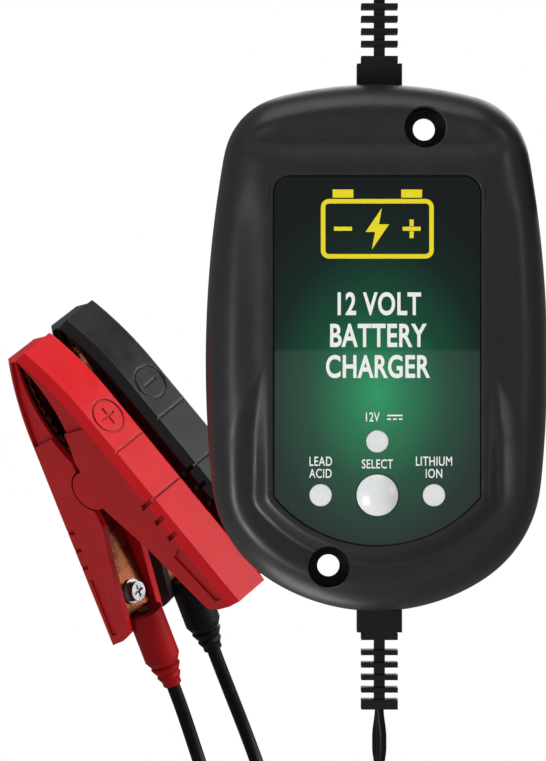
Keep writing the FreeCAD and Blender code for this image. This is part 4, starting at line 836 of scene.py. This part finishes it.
def colour_ramp(tree, share, stops):
    """Colours at shares of the way, blended in between."""
    ramp = node(tree, "ValToRGB", {"Fac": share})
    band = ramp.color_ramp
    while len(band.elements) < len(stops):
        band.elements.new(0.5)
    for element, (position, colour) in zip(band.elements, stops):
        element.position = position
        element.color = colour
    return ramp.outputs["Color"]


def panel_film(name):
    """The front film: black at the top, with a green glow round the middle and its lower part
    painted a little paler as a painted reflection, under clear gloss.
    """
    look, tree, shader = new_look(name)
    axes = node(tree, "SeparateXYZ", {"Vector": place(tree)})
    across = arithmetic(tree, "DIVIDE", axes.outputs["X"], GLOW_HALF_WIDTH)
    above = arithmetic(tree, "SUBTRACT", axes.outputs["Z"], GLOW_RISE)
    up = arithmetic(tree, "DIVIDE", above, GLOW_HALF_HEIGHT)
    far = node(tree, "CombineXYZ", {"X": across, "Y": up}).outputs["Vector"]
    reach = node(tree, "VectorMath", {0: far}, operation="LENGTH").outputs["Value"]
    glow = colour_ramp(
        tree, arithmetic(tree, "DIVIDE", reach, GLOW_END),
        (
            (0.0, srgb(36, 156, 100)), (0.3 / GLOW_END, srgb(28, 118, 78)),
            (0.62 / GLOW_END, srgb(20, 76, 54)), (1 / GLOW_END, srgb(18, 40, 34)),
            (1.0, srgb(20, 26, 27)),
        ),
    )
    # The lower part is blended towards pale grey-green: a painted reflection of the gloss.
    below = between(tree, axes.outputs["Z"], -0.2, -1.4, smooth=True)
    painted_reflection_share = arithmetic(tree, "MULTIPLY", below, PAINTED_REFLECTION_LIFT)
    with_painted_reflection = blend_colour(tree, painted_reflection_share, glow, srgb(225, 235, 230))
    dots = node(tree, "TexVoronoi", {"Vector": place(tree), "Scale": 3.2}).outputs["Distance"]
    print_dots = between(tree, dots, 0.2, 0.5, 0.94, 1.03)
    dotted = blend_colour(tree, 1.0, with_painted_reflection, print_dots, "MULTIPLY")
    feed(
        tree, shader,
        {
            "Base Color": dotted, "Roughness": 0.4, "Coat Weight": 0.2, "Specular IOR Level": 0.15,
            "Coat Roughness": between(tree, noise(tree, 6, 4), 0.3, 0.7, 0.05, 0.11),
        },
    )
    rounded = node(tree, "Bevel", {"Radius": 0.12 * MM}, samples=6).outputs["Normal"]
    relief(tree, shader, noise(tree, 1.1, 2), 0.003 * MM, rounded)
    return look


def foil_label(name):
    """A blank silver-grey rating label: a dark border and pale rows with nothing written."""
    look, tree, shader = new_look(name)
    axes = node(tree, "SeparateXYZ", {"Vector": place(tree)})
    z = axes.outputs["Z"]
    side = arithmetic(tree, "ABSOLUTE", axes.outputs["X"])
    rise = arithmetic(tree, "ABSOLUTE", arithmetic(tree, "SUBTRACT", z, FOIL_RISE))
    beside = between(tree, side, FOIL_HALF_WIDTH, FOIL_HALF_WIDTH + FOIL_SHARP)
    beyond = between(tree, rise, FOIL_HALF_HEIGHT, FOIL_HALF_HEIGHT + FOIL_SHARP)
    border = arithmetic(tree, "MAXIMUM", beside, beyond)
    widened = arithmetic(tree, "ADD", rise, FOIL_HALF_WIDTH - FOIL_HALF_HEIGHT)
    farthest = arithmetic(tree, "MAXIMUM", side, widened)
    line_end = FOIL_HALF_WIDTH + FOIL_LINE
    margin = between(tree, farthest, line_end, line_end + FOIL_SHARP)
    line = arithmetic(tree, "SUBTRACT", border, margin)
    stripe = between(tree, arithmetic(tree, "PINGPONG", z, FOIL_ROW), FOIL_ROW - 0.3, FOIL_ROW - 0.2)
    inside = arithmetic(tree, "SUBTRACT", 1.0, border)
    printed = arithmetic(tree, "MAXIMUM", line, arithmetic(tree, "MULTIPLY", stripe, inside))
    body = blend_colour(tree, printed, srgb(176, 178, 180), srgb(70, 72, 74))
    feed(tree, shader, {"Base Color": body, "Roughness": 0.36, "Metallic": 0.35})
    normal = node(tree, "NewGeometry").outputs["Normal"]
    relief(tree, shader, noise(tree, 0.4, 3), 0.006 * MM, normal)
    return look


def slot_looks():
    """One material for each material slot of the record."""
    black, steel, red = srgb(38, 39, 41), srgb(190, 190, 192), srgb(208, 12, 24)
    grip = {"grain": 0.4, "grain_depth": 0.004, "edge": 0.35}
    soft = {"grain": 0.3, "edge": 0.3}
    return {
        "case_plastic": moulded(
            "case_plastic", srgb(36, 36, 38), 0.38, grain_depth=0.004, shine=0.4, **soft
        ),
        "paper_label": foil_label("blank_foil"),
        "seal_rubber": moulded("seal_rubber", srgb(24, 24, 25), 0.7),
        "screw_steel": metal("screw_steel", steel, 0.3, (1, 4, 1), srgb(150, 145, 138)),
        "panel_print": panel_film("panel_film"),
        "lamp_lens": frosted("lamp_lens", srgb(240, 242, 241)),
        "led_epoxy": frosted("led_epoxy", srgb(232, 236, 232)),
        "button_cap": moulded(
            "button_cap", srgb(232, 234, 236), 0.24,
            grain=1.5, grain_depth=0.001, edge=0.3, coat=0.6, rub=1.0,
        ),
        "switch_case": moulded("switch_case", black, 0.5),
        "board_laminate": moulded(
            "board_laminate", srgb(22, 96, 48), 0.3, grain=0.5, grain_depth=0.004, coat=0.5
        ),
        "capacitor_sleeve": moulded("capacitor_sleeve", srgb(32, 42, 70), 0.3, coat=0.3),
        "ferrite": moulded("ferrite", srgb(52, 52, 56), 0.65, grain=0.2, grain_depth=0.012),
        "winding_tape": moulded("winding_tape", srgb(214, 172, 44), 0.35, coat=0.3),
        "copper_winding": metal("copper_winding", srgb(196, 112, 62), 0.32, (4, 1, 1)),
        "chip_epoxy": moulded("chip_epoxy", black, 0.6, grain=0.2, grain_depth=0.01),
        "heat_sink_aluminium": metal("heat_sink", srgb(205, 206, 210), 0.34, (1, 6, 1)),
        "safety_capacitor_case": moulded("safety_capacitor", srgb(196, 168, 56), 0.5),
        "fuse_glass": frosted("fuse_glass", srgb(214, 216, 210)),
        "wire_jacket": extruded("wire_jacket", srgb(7, 7, 8), 0.4),
        "cord_rubber": moulded(
            "cord_rubber", srgb(11, 11, 12), 0.5, grain=0.25, grain_depth=0.008, shine=0.3
        ),
        "cord_jacket": extruded("cord_jacket", srgb(9, 9, 10), 0.42),
        "plug_blade_metal": metal("plug_blade", srgb(214, 204, 182), 0.24, (1, 1, 5)),
        "contact_metal": metal("contact_metal", srgb(218, 184, 112), 0.22),
        "red_grip": moulded("red_grip", red, 0.38, rub=1.3, shine=0.4, **grip),
        "black_grip": moulded("black_grip", srgb(14, 14, 15), 0.34, rub=3.0, shine=0.6, **grip),
        "red_boot": moulded("red_boot", srgb(150, 3, 10), 0.5, shine=0.15, **soft),
        "black_boot": moulded("black_boot", srgb(10, 10, 11), 0.45, shine=0.2, **soft),
        "jaw_copper": metal(
            "jaw_copper", srgb(152, 90, 62), 0.3, (1, 1, 3), srgb(88, 48, 36), edge=0.2
        ),
        "spring_steel": metal("spring_steel", steel, 0.25),
    }


def dress_nodes(nodes, record):
    """Gives every CAD node the material of its slot."""
    looks = slot_looks()
    for entry in record["subparts"]:
        nodes[entry["node"]].material_slots[0].material = looks[entry["material_slot"]]
    return looks


# ---- floor, light and camera ---------------------------------------------------------------

AXIS = Vector((-23.1, 0, -7.4)) * MM
CAMERA_BACK = 1219 * MM
FACE_DEPTH = 19 * MM
FRAME_TALL = 171.2 * MM
SENSOR = 36
NEAR_CLIP, FAR_CLIP = 0.01, 50
FLOOR_REACH = 12
FLOOR_FADE = (0.22, 1.0)
PULL_ROOM = 17.5 * MM
AMBIENT = 0.2
LIGHT_AIM = (-0.02, 0, -0.01)
# Each soft light's name, place, width, height, power in watts and the pieces that it lights.
LIGHTS = (
    ("clamp_key", (0.85, -0.85, 0.4), 0.4, 0.4, 6.5, "clamps"),
    ("clamp_sheen", (1.0, -0.08, 0.3), 0.6, 0.6, 8, "clamps"),
    ("clamp_left", (-0.7, -0.4, 0.1), 0.1, 0.6, 0.5, "clamps"),
    ("case_key", (-0.72, -0.95, -0.42), 0.35, 0.5, 9, "case"),
    ("case_right", (0.9, -0.7, 0.3), 0.15, 0.6, 1.2, "case"),
    ("under", (-0.35, 0.2, -0.85), 0.6, 0.35, 2.8, "case"),
    ("overhead", (-0.1, -0.25, 0.8), 0.9, 0.5, 3.4, "everything"),
    ("back", (0.2, 0.9, 0.5), 0.8, 0.8, 5, "everything"),
)


def pale_floor(low):
    """A wide pale sheet. The wires clear it even with the clamp lead pulled off its connector."""
    bm = bmesh.new()
    corners = ((-1, -1), (1, -1), (1, 1), (-1, 1))
    spots = [(x * FLOOR_REACH, y * FLOOR_REACH, low.z - PULL_ROOM) for x, y in corners]
    bm.faces.new([bm.verts.new(spot) for spot in spots])
    floor = new_object("floor", bm)
    look, tree, shader = new_look("pale_floor")
    feed(tree, shader, {"Base Color": srgb(242, 242, 241), "Roughness": 0.85})
    spot = node(tree, "NewGeometry").outputs["Position"]
    far = node(tree, "VectorMath", {0: spot}, operation="LENGTH").outputs["Value"]
    fade = between(tree, far, *FLOOR_FADE, smooth=True)
    seen = node(tree, "LightPath").outputs["Is Camera Ray"]
    strength = between(tree, seen, 0, 1, AMBIENT, 1)
    glow = node(tree, "Emission", {"Color": (1, 1, 1, 1), "Strength": strength})
    mixed = node(tree, "MixShader", {0: fade, 1: shader.outputs[0], 2: glow.outputs[0]})
    feed(tree, tree.nodes["Material Output"], {"Surface": mixed.outputs[0]})
    floor.data.materials.append(look)
    floor.visible_glossy = False
    floor.visible_shadow = False


def soft_light(name, position, width, height, power):
    """An area light that the camera doesn't see."""
    lamp = bpy.data.lights.new(name, "AREA")
    lamp.shape = "RECTANGLE"
    lamp.size, lamp.size_y = width, height
    lamp.energy = power
    way = Vector(LIGHT_AIM) - Vector(position)
    thing = bpy.data.objects.new(name, lamp)
    thing.location = position
    thing.rotation_euler = way.to_track_quat("-Z", "Y").to_euler()
    thing.visible_camera = False
    bpy.context.scene.collection.objects.link(thing)
    return thing


def piece_groups():
    """The pieces of both clamps, and all the rest with the floor."""
    groups = {name: bpy.data.collections.new(name) for name in ("clamps", "case")}
    for thing in bpy.context.scene.objects:
        if thing.type == "MESH":
            on_clamp = thing.name.startswith(("positive_", "negative_"))
            groups["clamps" if on_clamp else "case"].objects.link(thing)
    return groups


def studio():
    """White to the camera and softly grey to everything else, with a ring of soft lights."""
    scene = bpy.context.scene
    world = bpy.data.worlds.new("studio")
    world.use_nodes = True
    tree = world.node_tree
    tree.nodes.clear()
    seen = node(tree, "Background", {"Color": (1, 1, 1, 1), "Strength": 1.0})
    ambient = node(tree, "Background", {"Color": (1, 1, 1, 1), "Strength": AMBIENT})
    camera_ray = node(tree, "LightPath").outputs["Is Camera Ray"]
    mixed = node(tree, "MixShader", {0: camera_ray, 1: ambient.outputs[0], 2: seen.outputs[0]})
    feed(tree, node(tree, "OutputWorld"), {"Surface": mixed.outputs[0]})
    scene.world = world
    scene.view_settings.view_transform = "Standard"
    groups = piece_groups()
    for name, position, width, height, power, lit in LIGHTS:
        light = soft_light(name, position, width, height, power)
        if lit in groups:
            light.light_linking.receiver_collection = groups[lit]
            light.light_linking.blocker_collection = groups[lit]


def camera():
    """Looks straight at the label from a little over a metre."""
    data = bpy.data.cameras.new("view")
    data.sensor_width = SENSOR
    data.lens = SENSOR * (CAMERA_BACK - FACE_DEPTH) / FRAME_TALL
    data.clip_start, data.clip_end = NEAR_CLIP, FAR_CLIP
    thing = bpy.data.objects.new("view", data)
    thing.location = (AXIS.x, -CAMERA_BACK, AXIS.z)
    thing.rotation_euler = (math.pi / 2, 0, 0)
    bpy.context.scene.collection.objects.link(thing)
    bpy.context.scene.camera = thing


# ---- build ---------------------------------------------------------------------------------

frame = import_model()
cad_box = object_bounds()
slot_materials = dress_nodes(frame["nodes"], frame["record"])
for piece in (front_moulding(frame["nodes"]), output_cord()):
    piece.data.materials.clear()
    piece.data.materials.append(slot_materials[piece["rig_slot"]])
for side in ("positive", "negative"):
    wound_spring(side)
panel_print()
pale_floor(cad_box[0])
studio()
camera()
